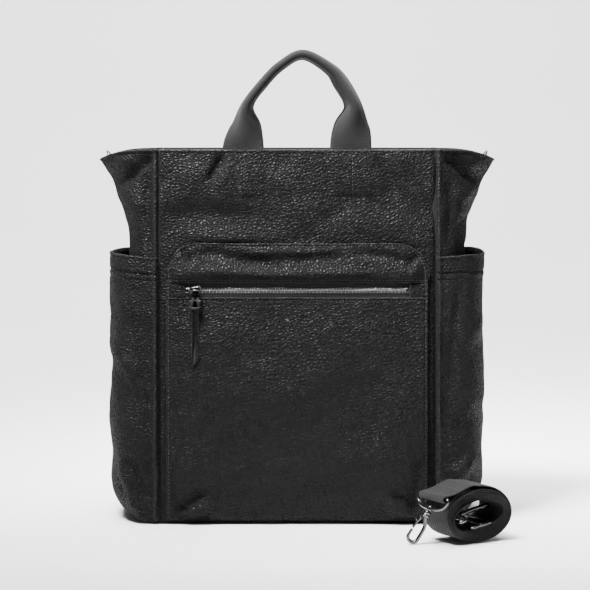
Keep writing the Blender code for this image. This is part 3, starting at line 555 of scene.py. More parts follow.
def leather(name, dark, light, pebbles, depth, rough, crease=0.16, specular=0.5):
    material, n, shader, place = begin(name, Specular_IOR_Level=specular)
    grain = n.add("ShaderNodeGroup", {"node_tree": GRAIN}, Vector=place)
    grain.inputs["Pebbles per metre"].default_value = pebbles
    grain.inputs["Crease"].default_value = crease
    wear = n.add("ShaderNodeGroup", {"node_tree": WEAR}, Vector=place)
    wear.inputs["Amount"].default_value = 0.8
    link = material.node_tree.links.new
    colour = n.blend(grain.outputs["Patches"], (*dark, 1), (*light, 1))
    # Painted shade: the creases between the pebbles are darkened towards near black in the base colour.
    colour = n.blend(
        n.math("MULTIPLY", grain.outputs["Crease mask"], 0.65), colour, (0.003, 0.003, 0.003, 1)
    )
    colour = n.blend(n.math("MULTIPLY", wear.outputs["Wear"], 0.5), colour, (0.035, 0.034, 0.034, 1))
    link(colour, shader.inputs["Base Color"])
    gloss = n.math("ADD", n.math("MULTIPLY", grain.outputs["Crease mask"], 0.50), rough)
    gloss = n.math("ADD", gloss, n.math("MULTIPLY", grain.outputs["Patches"], 0.10))
    gloss = n.math("SUBTRACT", gloss, n.math("MULTIPLY", wear.outputs["Wear"], 0.08))
    facing = n.add("ShaderNodeLayerWeight", Blend=0.5).outputs["Facing"]
    gloss = n.math("ADD", gloss, n.math("MULTIPLY", n.math("POWER", facing, 2.5), 0.40))
    link(gloss, shader.inputs["Roughness"])
    raised = n.add("ShaderNodeBump", Height=grain.outputs["Height"])
    raised.inputs["Strength"].default_value = 1.0
    raised.inputs["Distance"].default_value = depth
    link(raised.outputs[0], shader.inputs["Normal"])
    return material


def woven(name, colour, light, thread, depth, slant=0.0, lay=True, rough=0.8, sheen=0.15):
    material, n, shader, place = begin(name, Sheen_Weight=sheen, Sheen_Roughness=0.5, Specular_IOR_Level=0.25)
    if lay:
        place = n.add("ShaderNodeAttribute", {"attribute_name": "lay"}).outputs["Vector"]
    cloth = n.add("ShaderNodeGroup", {"node_tree": WEAVE}, Vector=place)
    cloth.inputs["Thread width"].default_value = thread
    cloth.inputs["Slant"].default_value = slant
    link = material.node_tree.links.new
    tone = n.blend(cloth.outputs["Shade"], (*colour, 1), (*light, 1))
    # Painted shade: the gaps between the threads are darkened in the base colour.
    tone = n.blend(n.math("MULTIPLY", cloth.outputs["Gap mask"], 0.55), tone, (0.002, 0.002, 0.002, 1))
    link(tone, shader.inputs["Base Color"])
    link(n.math("ADD", n.math("MULTIPLY", cloth.outputs["Gap mask"], 0.1), rough), shader.inputs["Roughness"])
    raised = n.add("ShaderNodeBump", Height=cloth.outputs["Height"])
    raised.inputs["Distance"].default_value = depth
    link(raised.outputs[0], shader.inputs["Normal"])
    return material


def metal(name, dark, light, rough, scratch=0.00004):
    material, n, shader, place = begin(name, Metallic=1.0)
    cloud = n.noise(place, 180.0, 3.0).outputs[0]
    stretched = n.vector("MULTIPLY", place, (6.0, 1.0, 1.0))
    lines = n.noise(stretched, 1500.0, 3.0, 0.7).outputs[0]
    link = material.node_tree.links.new
    link(n.blend(cloud, (*dark, 1), (*light, 1)), shader.inputs["Base Color"])
    link(n.math("ADD", n.math("MULTIPLY", lines, 0.14), rough), shader.inputs["Roughness"])
    raised = n.add("ShaderNodeBump", Height=lines)
    raised.inputs["Distance"].default_value = scratch
    link(raised.outputs[0], shader.inputs["Normal"])
    return material


PEBBLED = leather("pebbled_leather", (0.0026, 0.0026, 0.0029), (0.0042, 0.0042, 0.0046),
                  330.0, 0.00070, 0.36, 0.22, specular=0.12)
SMOOTH = leather("smooth_leather", (0.0050, 0.0050, 0.0052), (0.0075, 0.0075, 0.0078),
                 900.0, 0.00010, 0.36, 0.3, specular=0.22)
WEBBING = woven("webbing", (0.0055, 0.0055, 0.0060), (0.0090, 0.0090, 0.0096), 0.0014, 0.0005, sheen=0.06)
THREAD_FINISH = woven("thread", (0.010, 0.010, 0.010), (0.02, 0.02, 0.02), 0.0003, 0.00005,
                       lay=False, rough=0.55)
LINING = woven("lining_cloth", (0.028, 0.028, 0.032), (0.038, 0.038, 0.042), 0.0007, 0.00015, 0.3, lay=False)
TAPE = woven("zip_tape", (0.010, 0.010, 0.011), (0.015, 0.015, 0.016), 0.0006, 0.00015, 0.5, lay=False)
BOARD = woven("board", (0.045, 0.045, 0.045), (0.055, 0.055, 0.055), 0.0015, 0.00005, lay=False, sheen=0.0)
BRIGHT = metal("bright_metal", (0.66, 0.66, 0.67), (0.80, 0.80, 0.81), 0.16)
GUNMETAL = metal("gunmetal", (0.07, 0.07, 0.075), (0.14, 0.14, 0.15), 0.18)

# ---------------------------------------------------------------- parts by finish


def hide(name, face, node, rub=None):
    """A piece of the bag's pebbled leather."""
    shell(name, face, LEATHER, PEBBLED, "pebbled_leather", "bag", (node,), rub=rub)


def fitting(name, points, faces, body, node):
    """A piece of the dark metal."""
    piece(name, points, faces, GUNMETAL, "gunmetal", body, (node,))


def sewn(name, rows):
    """Rows of stitches as one piece."""
    piece(name, *joined(*rows), THREAD_FINISH, "webbing", "bag")


# ---------------------------------------------------------------- shapes of the bag's walls


def half_depth(z):
    narrowing = (RIM_HALF_DEPTH - BASE_HALF_DEPTH) * (np.maximum(z, 0) / RIM_Z) ** 1.6
    return BASE_HALF_DEPTH + narrowing - 0.005 * round_in(z, 0.020)


def side_reach(z):
    flare = np.clip((z - WAIST_Z) / (RIM_Z - WAIST_Z), 0, None) ** 1.75
    return WAIST_REACH + WING_FLARE * flare - 0.022 * round_in(z, 0.035)


def plan_power(z):
    return 3.0 - 1.5 * smooth((z - 0.20) / (RIM_Z - 0.20))


def side_plan(reach, depth, power, shares):
    """Plan points from the front seam round to the back seam, at shares of the curve's length."""
    start = SEAM_X + SEAM_GAP
    middle = start + FLANGE
    angle = math.pi * (np.linspace(0, 1, 601) - 0.5)
    out = np.abs(np.cos(angle)) ** (2 / power)
    along = np.sign(angle) * np.abs(np.sin(angle)) ** (2 / power)
    x = np.concatenate([[start], middle + (reach - middle) * out, [start]])
    y = np.concatenate([[-depth], depth * along, [depth]])
    run = np.concatenate([[0], np.cumsum(np.hypot(np.diff(x), np.diff(y)))])
    return np.interp(shares * run[-1], run, x), np.interp(shares * run[-1], run, y)


def drooped(x, z):
    start = SEAM_X + SEAM_GAP + FLANGE
    share = np.clip((np.abs(x) - start) / (side_reach(z) - start), 0, 1)
    return z - 0.0105 * (z / RIM_Z) ** 8 * share**3


def on_front(x, z, stand, back=False):
    """Points on the front wall, or turned round to the back, standing that far out of it."""
    side = -1 if back else 1
    return np.stack([side * x, -side * (half_depth(z) + stand), z + 0 * x], -1)


def end_dense(count, length):
    """Shares from 0 to 1, closer together at both ends of something that long."""
    near = np.array([0, 0.0005, 0.001, 0.0016, 0.0022, 0.0029, 0.0037, 0.0046, 0.0057, 0.007]) / length
    middle = np.linspace(0.0085 / length, 1 - 0.0085 / length, count)
    return np.concatenate([near, middle, 1 - near[::-1]])


def sewn_edge(away):
    """The rolled ridge of leather beside a seam, at that distance from it."""
    return 0.0024 * bump(away, 0.0030, 0.0021) - 0.0012 * bump(away, 0.0, 0.0009)


def top_edge(below):
    """The turned edge of a rim: a fine groove under a rounded fold."""
    return 0.0005 * bump(below, 0.0012, 0.0012) - 0.0007 * bump(below, 0.0040, 0.0007)


HEM_ROWS = (0.2406, 0.2339)
T_LEFT = ((-0.0507, 0.3538), (-0.0507, 0.3164))
T_LEFT_FOOT = ((-0.0656, 0.3164), (-0.0362, 0.3164))
T_RIGHT = ((0.0528, 0.3538), (0.0528, 0.3130))
T_RIGHT_FOOT = ((0.0383, 0.3130), (0.0663, 0.3130))


def seam_line(x, z, path, depth=0.0005, width=0.0007):
    off, _ = beside(x, z, path)
    return -depth * np.exp(-((off / width) ** 2))


FRONT_FOLDS = (
    (((-0.071, 0.352), (-0.077, 0.340), (-0.086, 0.326)), 0.0050, -0.0032, 0.3),
    (((-0.064, 0.350), (-0.069, 0.335), (-0.074, 0.318)), 0.0050, 0.0012),
    (((0.078, 0.352), (0.086, 0.335), (0.093, 0.310)), 0.0070, -0.0028, -0.3),
    (((-0.050, 0.315), (-0.043, 0.305), (-0.041, 0.290)), 0.0055, -0.0010, 0.2),
    (((0.052, 0.311), (0.045, 0.300), (0.020, 0.292)), 0.0060, -0.0008, 0.2),
)


def front_lift(x, z):
    """How far the front panel's leather stands out of its flat shape."""
    points = np.stack([x, 0 * x, z], -1)
    edge = SEAM_X - np.abs(x)
    free = smooth((z - 0.262) / 0.012)
    lift = 0.0009 * ripple(points, 0.075, 4) + 0.00045 * ripple(points, 0.030, 9)
    lift += swell(x, z, (0.0, 0.332), (0.070, 0.022), 0.0022)
    lift += swell(x, z, (-0.082, 0.2930), (0.044, 0.012), -0.0032)
    lift += swell(x, z, (-0.070, 0.271), (0.050, 0.006), 0.0012)
    lift += swell(x, z, (0.080, 0.283), (0.050, 0.012), 0.0016)
    lift += folds(x, z, FRONT_FOLDS)
    for middle in (-HANDLE_X, HANDLE_X):
        pad = smooth((0.0205 - np.abs(x - middle)) / 0.003) * smooth((z - 0.312) / 0.003)
        lift += 0.0006 * pad
    for path in (T_LEFT, T_LEFT_FOOT, T_RIGHT, T_RIGHT_FOOT):
        lift += seam_line(x, z, path)
    lift = 1.5 * lift * free + top_edge(RIM_Z - z)
    lift -= 0.0018 * bump(edge, 0.0, 0.0020)
    return lift


def back_lift(x, z):
    points = np.stack([x, 0 * x + 0.4, z], -1)
    edge = SEAM_X - np.abs(x)
    lift = 0.0009 * ripple(points, 0.080, 21) + 0.0004 * ripple(points, 0.030, 23)
    lift += swell(x, z, (0.0, 0.325), (0.075, 0.025), 0.0018)
    lift += fold(x, z, [(-0.10, 0.34), (-0.06, 0.30), (-0.02, 0.285)], 0.0070, -0.0012, 0.2)
    lift += fold(x, z, [(0.10, 0.335), (0.07, 0.30), (0.03, 0.280)], 0.0070, -0.0010, -0.2)
    inside = smooth((POCKET_TOP - 0.020 - z) / 0.01) * smooth((0.118 - np.abs(x)) / 0.008)
    lift = lift * (1 - 0.8 * inside)
    for middle in (-HANDLE_X, HANDLE_X):
        lift += seam_line(x, z, [(middle, 0.3538), (middle, 0.3155)])
        lift += seam_line(x, z, [(middle - 0.0148, 0.3155), (middle + 0.0148, 0.3155)])
    return lift + top_edge(RIM_Z - z) - 0.0018 * bump(edge, 0.0, 0.0020)


def wall_panel(name, lift, node, back):
    columns = marks(-SEAM_X, SEAM_X, 0.0026, (-0.0507, 0.0528, -0.052, 0.052))
    rows = marks(WALL_FOOT, RIM_Z, 0.0017)
    x, z = np.meshgrid(columns, rows)
    face = on_front(x, z, lift(x, z), back)
    rub = 0.5 * bump(RIM_Z - z, 0.001, 0.0015)
    hide(name, face, node, rub=rub)


# By side: -1 is the left, 1 the right.
WING_FOLDS = {
    -1: (
        (((0.137, 0.350), (0.152, 0.338), (0.1660, 0.3235)), 0.0055, -0.0052, 0.35),
        (((0.186, 0.341), (0.176, 0.331), (0.1660, 0.3235)), 0.0055, -0.0042, -0.3),
        (((0.178, 0.322), (0.160, 0.310), (0.145, 0.296)), 0.0100, 0.0044, -0.2),
        (((0.1425, 0.335), (0.1435, 0.300), (0.1415, 0.262)), 0.0045, -0.0036),
        (((0.170, 0.290), (0.158, 0.276), (0.150, 0.262)), 0.0060, -0.0018, 0.2),
    ),
    1: (
        (((0.140, 0.350), (0.156, 0.339), (0.1675, 0.3255)), 0.0055, -0.0050, 0.35),
        (((0.186, 0.342), (0.177, 0.334), (0.1675, 0.3255)), 0.0052, -0.0040, -0.3),
        (((0.182, 0.320), (0.166, 0.318), (0.149, 0.310)), 0.0090, 0.0036, -0.2),
        (((0.1445, 0.330), (0.1470, 0.300), (0.1440, 0.265)), 0.0050, -0.0034),
        (((0.178, 0.297), (0.166, 0.292), (0.153, 0.284)), 0.0055, -0.0034, 0.3),
        (((0.176, 0.286), (0.166, 0.279), (0.158, 0.266)), 0.0060, 0.0022),
    ),
}


def gusset_folds(x, z, side):
    """The wings' buckled folds as seen from the front."""
    x = np.abs(x)
    middle, height = ((0.166, 0.345), 0.0036) if side < 0 else ((0.168, 0.346), 0.0034)
    return folds(x, z, WING_FOLDS[side]) + swell(x, z, middle, (0.014, 0.009), height)


def gusset(name, side, node, seed):
    shares = end_dense(110, 0.20)
    rows = marks(WALL_FOOT, RIM_Z, 0.0030, (RIM_Z - 0.0040,))
    x, y, z = [], [], []
    for level in rows:
        plan_x, plan_y = side_plan(side_reach(level), half_depth(level), plan_power(level), shares)
        x.append(plan_x)
        y.append(plan_y)
        z.append(drooped(plan_x, level))
    face = np.stack([np.array(x), np.array(y), np.array(z)], -1)
    level = np.repeat(rows[:, None], len(shares), 1)
    run = np.concatenate([np.zeros((len(rows), 1)), np.cumsum(steps_between(face, 1), 1)], 1)
    edge = np.minimum(run, run[:, -1:] - run)
    ahead = smooth((0.014 - face[..., 1]) / 0.028)
    free = smooth((level - 0.240) / 0.014)
    seen = 1 - 0.85 * bump(RIM_Z - level, 0.0, 0.006)
    lift = 0.0007 * ripple(face, 0.070, seed) + 0.0003 * ripple(face, 0.026, seed + 1)
    lift += 1.1 * gusset_folds(face[..., 0], level, side) * ahead
    lift += gusset_folds(face[..., 0], level + 0.006, -side) * (1 - ahead) * 0.8
    lift = lift * free * seen * smooth(edge / 0.006) + sewn_edge(edge) * (0.55 + 0.45 * free)
    lift += top_edge(RIM_Z - level)
    tip = smooth((np.abs(face[..., 0]) - 0.148) / 0.020)
    lift = lift * (1 - 0.65 * tip * (1 - smooth((-face[..., 1] - 0.020) / 0.016)))
    face = face + normals_of(face) * lift[..., None]
    if side < 0:
        face = (face * np.array([-1, 1, 1]))[:, ::-1]
    rub = 0.6 * bump(edge, 0.003, 0.0018)
    rub = rub if side > 0 else rub[:, ::-1]
    hide(name, face, node, rub=rub)


def pocket_mouth(share, side):
    """Height of the side pocket's mouth from the front seam round to the back seam."""
    ends = np.minimum(share, 1 - share)
    return MOUTH_Z - 0.0022 + 0.0026 * smooth(ends / 0.25) + 0.0007 * np.sin(share * 9 + side)


# By side: -1 is the left, 1 the right.
SIDE_POCKET_FOLDS = {
    -1: (
        (((0.181, 0.176), (0.168, 0.160), (0.150, 0.142)), 0.0075, 0.0026, 0.2),
        (((0.181, 0.160), (0.168, 0.138), (0.152, 0.112)), 0.0085, -0.0026, 0.2),
        (((0.172, 0.060), (0.160, 0.034), (0.150, 0.010)), 0.0065, 0.0046, 0.25),
        (((0.166, 0.068), (0.155, 0.044), (0.141, 0.026)), 0.0055, -0.0034),
        (((0.179, 0.070), (0.174, 0.046), (0.164, 0.022)), 0.0055, -0.0034),
        (((0.156, 0.235), (0.149, 0.190), (0.143, 0.130)), 0.0055, -0.0022, 0.2),
    ),
    1: (
        (((0.181, 0.200), (0.166, 0.178), (0.152, 0.166)), 0.0080, 0.0020, 0.2),
        (((0.156, 0.236), (0.150, 0.190), (0.146, 0.120)), 0.0055, -0.0022, 0.2),
        (((0.180, 0.120), (0.164, 0.098), (0.148, 0.088)), 0.0080, -0.0022, 0.2),
        (((0.172, 0.074), (0.158, 0.056), (0.143, 0.048)), 0.0070, 0.0038, 0.2),
        (((0.172, 0.054), (0.160, 0.036), (0.145, 0.028)), 0.0060, -0.0030, 0.2),
    ),
}


def side_pocket_folds(x, z, side):
    """Creases where the side pocket is full and where it bends over its foot."""
    return folds(np.abs(x), z, SIDE_POCKET_FOLDS[side])


def side_pocket_face(side, seed):
    """Grid of the side pocket's outer side, its heights and its distances from the seams."""
    shares = end_dense(120, 0.22)
    fine = (*HEM_ROWS, HEM_ROWS[0] + 0.0010, MOUTH_Z - 0.0020)
    rows = marks(WALL_FOOT, MOUTH_Z, 0.0030, fine)
    x, y = [], []
    for level in rows:
        reach = max(0.1815 - 0.0375 * round_in(level, 0.045), side_reach(level) + 0.0023)
        plan_x, plan_y = side_plan(reach, half_depth(level) + 0.0023, 3.2, shares)
        x.append(plan_x)
        y.append(plan_y)
    level = np.repeat(rows[:, None], len(shares), 1)
    stretch = smooth((level - 0.19) / 0.06)
    z = level + (pocket_mouth(shares, side)[None] - MOUTH_Z) * stretch
    face = np.stack([np.array(x), np.array(y), z], -1)
    run = np.concatenate([np.zeros((len(rows), 1)), np.cumsum(steps_between(face, 1), 1)], 1)
    edge = np.minimum(run, run[:, -1:] - run)
    ahead = smooth((0.014 - face[..., 1]) / 0.028)
    quiet = 1 - 0.6 * smooth((level - 0.225) / 0.015)
    foot = smooth((level - WALL_FOOT) / 0.008)
    lift = 0.0013 * ripple(face, 0.075, seed) + 0.0005 * ripple(face, 0.028, seed + 1)
    lift += side_pocket_folds(face[..., 0], level, side) * ahead
    lift += side_pocket_folds(face[..., 0], level - 0.01, -side) * (1 - ahead) * 0.8
    lift = lift * quiet * foot * smooth(edge / 0.007) + sewn_edge(edge) * foot
    lift += 0.0007 * smooth((level - HEM_ROWS[0] - 0.0006) / 0.0008)
    for row in HEM_ROWS:
        lift -= 0.0006 * bump(level, row, 0.0008)
    lift += 0.0007 * bump(level, sum(HEM_ROWS) / 2, 0.0022)
    lift += top_edge(MOUTH_Z - level) * 0.6
    face = face + normals_of(face) * lift[..., None]
    if side < 0:
        face, edge = (face * np.array([-1, 1, 1]))[:, ::-1], edge[:, ::-1]
    return face, level, edge


def side_pocket(name, side, node, seed):
    face, level, edge = side_pocket_face(side, seed)
    rub = 0.6 * bump(edge, 0.003, 0.0018) + 0.4 * bump(MOUTH_Z - level, 0.0, 0.0015)
    hide(name, face, node, rub=rub)
    normal = normals_of(face)
    rows = []
    for row in HEM_ROWS:
        near = int(np.argmin(np.abs(level[:, 0] - row)))
        rows.append(stitches(face[near, 4:-4] + normal[near, 4:-4] * 0.0002, normal[near, 4:-4]))
    sewn(name + "_stitches", rows)


# ---------------------------------------------------------------- front zipped pocket


def arch_top(x):
    over = np.maximum(0, np.abs(x) - (POCKET_X - POCKET_CORNER))
    return POCKET_TOP - POCKET_CORNER + np.sqrt(np.maximum(0, POCKET_CORNER**2 - over**2))


POCKET_FOLDS = (
    (((-0.1130, 0.010), (-0.1010, 0.022), (-0.0850, 0.031)), 0.0036, -0.0046, 0.3),
    (((-0.1080, 0.006), (-0.0960, 0.013), (-0.0800, 0.018)), 0.0050, 0.0038),
    (((-0.1180, 0.046), (-0.1150, 0.026), (-0.1090, 0.010)), 0.0036, -0.0024),
    (((0.1140, 0.012), (0.1040, 0.024), (0.0880, 0.030)), 0.0036, -0.0044, -0.3),
    (((0.1090, 0.008), (0.0980, 0.015), (0.0840, 0.019)), 0.0050, 0.0036),
    (((0.1170, 0.060), (0.1130, 0.036), (0.1100, 0.014)), 0.0042, -0.0022),
)


def pocket_lift(x, z):
    """The lower pocket panel: full in the middle, pinched at its bottom corners."""
    points = np.stack([x, 0 * x + 0.1, z], -1)
    edge = np.minimum(POCKET_X - np.abs(x), z - 0.004)
    side = POCKET_X - np.abs(x)
    full = np.clip(1 - (x / POCKET_X) ** 4, 0, 1) * smooth((WINDOW_FOOT - z) / 0.05)
    lift = 0.0032 * full * smooth((z - 0.004) / 0.05)
    lift += (0.0012 * ripple(points, 0.090, 31) + 0.0004 * ripple(points, 0.032, 33)) * smooth(edge / 0.02)
    lift += folds(x, z, POCKET_FOLDS)
    lift += swell(x, z, (0.095, 0.075), (0.022, 0.045), 0.0020)
    lift += swell(x, z, (-0.075, 0.165), (0.030, 0.040), 0.0016)
    lift -= 0.0007 * bump(side, 0.0022, 0.0008)
    lift += 0.0004 * bump(side, 0.0050, 0.0018)
    lift -= 0.0006 * bump(WINDOW_FOOT - z, 0.0032, 0.0007)
    lift += 0.0004 * bump(WINDOW_FOOT - z, 0.0010, 0.0012)
    lift -= 0.0020 * bump(z, 0.004, 0.0030)
    return lift


POCKET_TOP_FOLDS = (
    (((-0.1130, 0.2635), (-0.1060, 0.2560), (-0.1010, 0.2490)), 0.0028, -0.0044, 0.4),
    (((-0.1010, 0.2600), (-0.0830, 0.2590), (-0.0560, 0.2520), (-0.0200, 0.2470)), 0.0058, -0.0042, 0.3),
    (((-0.0300, 0.2490), (0.0100, 0.2520), (0.0500, 0.2560)), 0.0050, -0.0016, 0.2),
    (((0.0500, 0.2590), (0.0850, 0.2560), (0.1080, 0.2470)), 0.0052, -0.0036, 0.3),
    (((0.1180, 0.2580), (0.1090, 0.2500), (0.1060, 0.2420)), 0.0034, -0.0042, -0.3),
    (((-0.0980, 0.2430), (-0.0600, 0.2400), (-0.0200, 0.2380), (0.0300, 0.2390),
      (0.0900, 0.2400)), 0.0045, 0.0026),
    (((-0.0500, 0.2590), (0.0000, 0.2600), (0.0400, 0.2620)), 0.0040, 0.0014),
)


def pocket_top_lift(x, z):
    """The upper pocket panel: slack leather that folds over between the arch and the zip."""
    points = np.stack([x, 0 * x + 0.2, z], -1)
    below = arch_top(x) - z
    above = z - WINDOW_TOP
    side = POCKET_X - np.abs(x)
    inside = smooth(below / 0.009) * smooth(above / 0.003) * smooth((side - 0.003) / 0.010)
    lift = 0.0014 * inside + 0.0032 * inside * bump(z, 0.2400, 0.0085)
    lift += folds(x, z, POCKET_TOP_FOLDS)
    lift += 0.0006 * ripple(points, 0.022, 43) * inside
    lift -= 0.0007 * bump(below, 0.0024, 0.0008) * (above > 0.004)
    lift -= 0.0007 * bump(side, 0.0022, 0.0008)
    lift -= 0.0006 * bump(above, 0.0032, 0.0007)
    lift += 0.0004 * bump(above, 0.0010, 0.0012)
    return lift


def front_pocket():
    columns = marks(-POCKET_X, POCKET_X, 0.0024, (-POCKET_X + 0.0022, POCKET_X - 0.0022))
    rows = marks(0.004, WINDOW_FOOT, 0.0025, (WINDOW_FOOT - 0.0032, 0.010))
    x, z = np.meshgrid(columns, rows)
    face = on_front(x, z, POCKET_STAND + pocket_lift(x, z))
    hide("front_pocket_leather", face, "front_pocket_panel", rub=0.5 * bump(WINDOW_FOOT - z, 0, 0.0016))
    turn = np.linspace(0, math.pi / 2, 16)
    corner = POCKET_X - POCKET_CORNER * (1 - np.sin(turn))
    columns = np.concatenate([-corner[::-1], marks(-0.0944, 0.0944, 0.0023)[1:-1], corner])
    shares = marks(0.0, 0.038, 0.0011, (0.0032, 0.0356)) / 0.038
    x = np.repeat(columns[None], len(shares), 0)
    z = WINDOW_TOP + shares[:, None] * (arch_top(columns) - WINDOW_TOP)[None]
    face = on_front(x, z, POCKET_STAND + pocket_top_lift(x, z))
    hide("front_pocket_top_leather", face, "front_pocket_top", rub=0.5 * bump(z - WINDOW_TOP, 0, 0.0016))
    inset = POCKET_CORNER / 2
    x, z = np.meshgrid(marks(-POCKET_X + inset, POCKET_X - inset, 0.006), marks(0.020, 0.258, 0.006))
    rippled = 0.0008 + 0.0001 * ripple(np.stack([x, 0 * x, z], -1), 0.04, 5)
    shell("front_pocket_lining_cloth", on_front(x, z, rippled), 0.0005, LINING, "lining_cloth", "bag",
          ("front_pocket_lining",))
    for name, side in (("left", -1), ("right", 1)):
        low, high = sorted((side * (ZIP_HALF + 0.0003), side * POCKET_X))
        x, z = np.meshgrid(marks(low, high, 0.0012), marks(WINDOW_FOOT + 0.0003, WINDOW_TOP - 0.0003, 0.0011))
        inner = np.abs(x) - ZIP_HALF
        stand = POCKET_STAND + 0.0003 - 0.0005 * bump(inner, 0.0024, 0.0006)
        stand = stand - 0.0006 * bump(POCKET_X - np.abs(x), 0.0022, 0.0008)
        hide(f"front_zip_end_{name}_leather", on_front(x, z, stand), f"front_zip_end_{name}")
    rows = []
    for side in (-1, 1):
        z = np.linspace(0.009, 0.236, 90)
        x = np.full(90, side * (POCKET_X - 0.0022))
        stand = POCKET_STAND + np.where(z < WINDOW_FOOT, pocket_lift(x, z), 0.0) + 0.0001
        rows.append(stitches(on_front(x, z, stand), (0, -1, 0)))
    for level, lift in ((WINDOW_FOOT - 0.0032, pocket_lift), (WINDOW_TOP + 0.0032, pocket_top_lift)):
        x = np.linspace(-POCKET_X + 0.001, POCKET_X - 0.001, 120)
        z = np.full(120, level)
        rows.append(stitches(on_front(x, z, POCKET_STAND + lift(x, z) + 0.0001), (0, -1, 0)))
    turn = np.linspace(0.0, math.pi / 2, 14)
    reach = POCKET_CORNER - 0.0024
    bend = [(POCKET_X - POCKET_CORNER + reach * math.cos(a), POCKET_TOP - POCKET_CORNER + reach * math.sin(a))
            for a in turn]
    line = np.array(bend + [(-x, z) for x, z in bend[::-1]])
    rows.append(stitches(
        on_front(line[:, 0], line[:, 1], POCKET_STAND + pocket_top_lift(line[:, 0], line[:, 1]) + 0.0001),
        (0, -1, 0),
    ))
    sewn("front_pocket_stitches", rows)


def zip_chain():
    x, z = np.meshgrid(marks(-POCKET_X + 0.0006, POCKET_X - 0.0006, 0.004), marks(0.2075, 0.2395, 0.0008))
    away = np.abs(z - ZIP_Z)
    stand = 0.0017 + 0.0005 * bump(away, 0.0034, 0.0006) + 0.0002 * bump(away, 0.0052, 0.0004)
    shell("front_zip_tape_cloth", on_front(x, z, stand), 0.0006, TAPE, "zip_tape", "bag",
          ("front_zip_tape",))
    sections = ((2.45, 0.44, 0.70), (1.60, 0.50, 0.78), (0.95, 0.40, 0.62), (0.35, 0.42, 0.62),
                (-0.15, 0.66, 0.78), (-0.55, 0.58, 0.70), (-0.80, 0.30, 0.40))
    angle = (np.arange(8) + 0.5) / 8 * math.tau
    square = np.stack([
        np.sign(np.cos(angle)) * np.abs(np.cos(angle)) ** 0.6,
        np.sign(np.sin(angle)) * np.abs(np.sin(angle)) ** 0.6,
    ], -1)
    tooth = np.array([
        [(u * across * 0.00080, v * deep * 0.001, out * 0.001) for u, v in square]
        for out, across, deep in sections
    ]).reshape(-1, 3)
    shapes = [list(f) for f in grid_faces(len(sections), 8, True)]
    shapes += [list(range(8))[::-1], [8 * (len(sections) - 1) + k for k in range(8)]]
    lean = math.atan((half_depth(ZIP_Z - 0.002) - half_depth(ZIP_Z + 0.002)) / 0.004)
    tilt = np.array(Matrix.Rotation(-lean, 3, "X"))
    for name, side in (("upper", 1), ("lower", -1)):
        parts = []
        start = -TEETH_HALF + (0.0006 if side > 0 else 0.0006 + TOOTH_PITCH / 2)
        for at in np.arange(start, TEETH_HALF - 0.0005, TOOTH_PITCH):
            placed = tooth * np.array([1, 1, side])
            placed = placed @ tilt.T + np.array([at, -half_depth(ZIP_Z) - 0.0031, ZIP_Z])
            ways = shapes if side < 0 else [way[::-1] for way in shapes]
            parts.append((placed, ways))
        points, faces = joined(*parts)
        piece(f"front_zip_teeth_{name}_row", points, faces, BRIGHT, "bright_metal", "bag",
              (f"front_zip_teeth_{name}",))
    for name, side in (("left", -1), ("right", 1)):
        box = [(-0.0013, -0.0023), (0.0013, -0.0023), (0.0013, 0.0023), (-0.0013, 0.0023)]
        part = moved(plate(rounded(box, 0.0006), 0.0019, 0.0005), Matrix.Translation(
            (side * (TEETH_HALF + 0.0018), -half_depth(ZIP_Z) - 0.0031, ZIP_Z)))
        piece(f"front_zip_stop_{name}_crimp", *part, BRIGHT, "bright_metal", "bag",
              (f"front_zip_stop_{name}",))


def rounded(corners, radius, steps=4):
    """An outline with its corners rounded; the corners go anticlockwise."""
    out = []
    count = len(corners)
    for index in range(count):
        before, here, after = (Vector(corners[(index + k) % count]) for k in (-1, 0, 1))
        one = (before - here).normalized()
        two = (after - here).normalized()
        spread = one.angle(two) / 2
        reach = min(radius / math.tan(spread), (before - here).length * 0.49, (after - here).length * 0.49)
        start, end = here + one * reach, here + two * reach
        for t in np.linspace(0, 1, steps):
            out.append(tuple(start.lerp(here, t).lerp(here.lerp(end, t), t)))
    return out


def slider_parts():
    node_low, node_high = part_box("front_zip_slider")
    at_x = (node_low.x + node_high.x) / 2
    face = -half_depth(ZIP_Z) - 0.0042
    shield = [(-0.0045, -0.0030), (-0.0010, -0.0030), (0.0040, -0.0041), (0.0046, -0.0020),
              (0.0046, 0.0020), (0.0040, 0.0041), (-0.0010, 0.0030), (-0.0045, 0.0030)]
    lean = math.atan((half_depth(ZIP_Z - 0.002) - half_depth(ZIP_Z + 0.002)) / 0.004)
    seat = Matrix.Translation((at_x, face, ZIP_Z)) @ Matrix.Rotation(-lean, 4, "X")
    top = moved(plate(rounded(shield, 0.0012), 0.0013, 0.0005), Matrix.Translation((0, -0.0009, 0)))
    parts = [top]
    for side in (-1, 1):
        wall = [(-0.0044, -0.0006), (0.0042, -0.0006), (0.0042, 0.0006), (-0.0044, 0.0006)]
        turn = Matrix.Translation((0, 0.0002, side * 0.0030)) @ Matrix.Rotation(-side * 0.16, 4, "Y")
        parts.append(moved(plate(rounded(wall, 0.0004), 0.0022, 0.0004), turn))
    arch = curved([(-0.0036, -0.0012, 0), (-0.0032, -0.0034, 0), (-0.0012, -0.0046, 0),
                   (0.0012, -0.0046, 0), (0.0030, -0.0034, 0), (0.0034, -0.0012, 0)], 5)
    parts.append(tube(arch, 0.00075, sides=10, flat=1.5))
    points, faces = moved(joined(*parts), seat)
    fitting("front_zip_slider_body", points, faces, "zip_slider", "front_zip_slider")


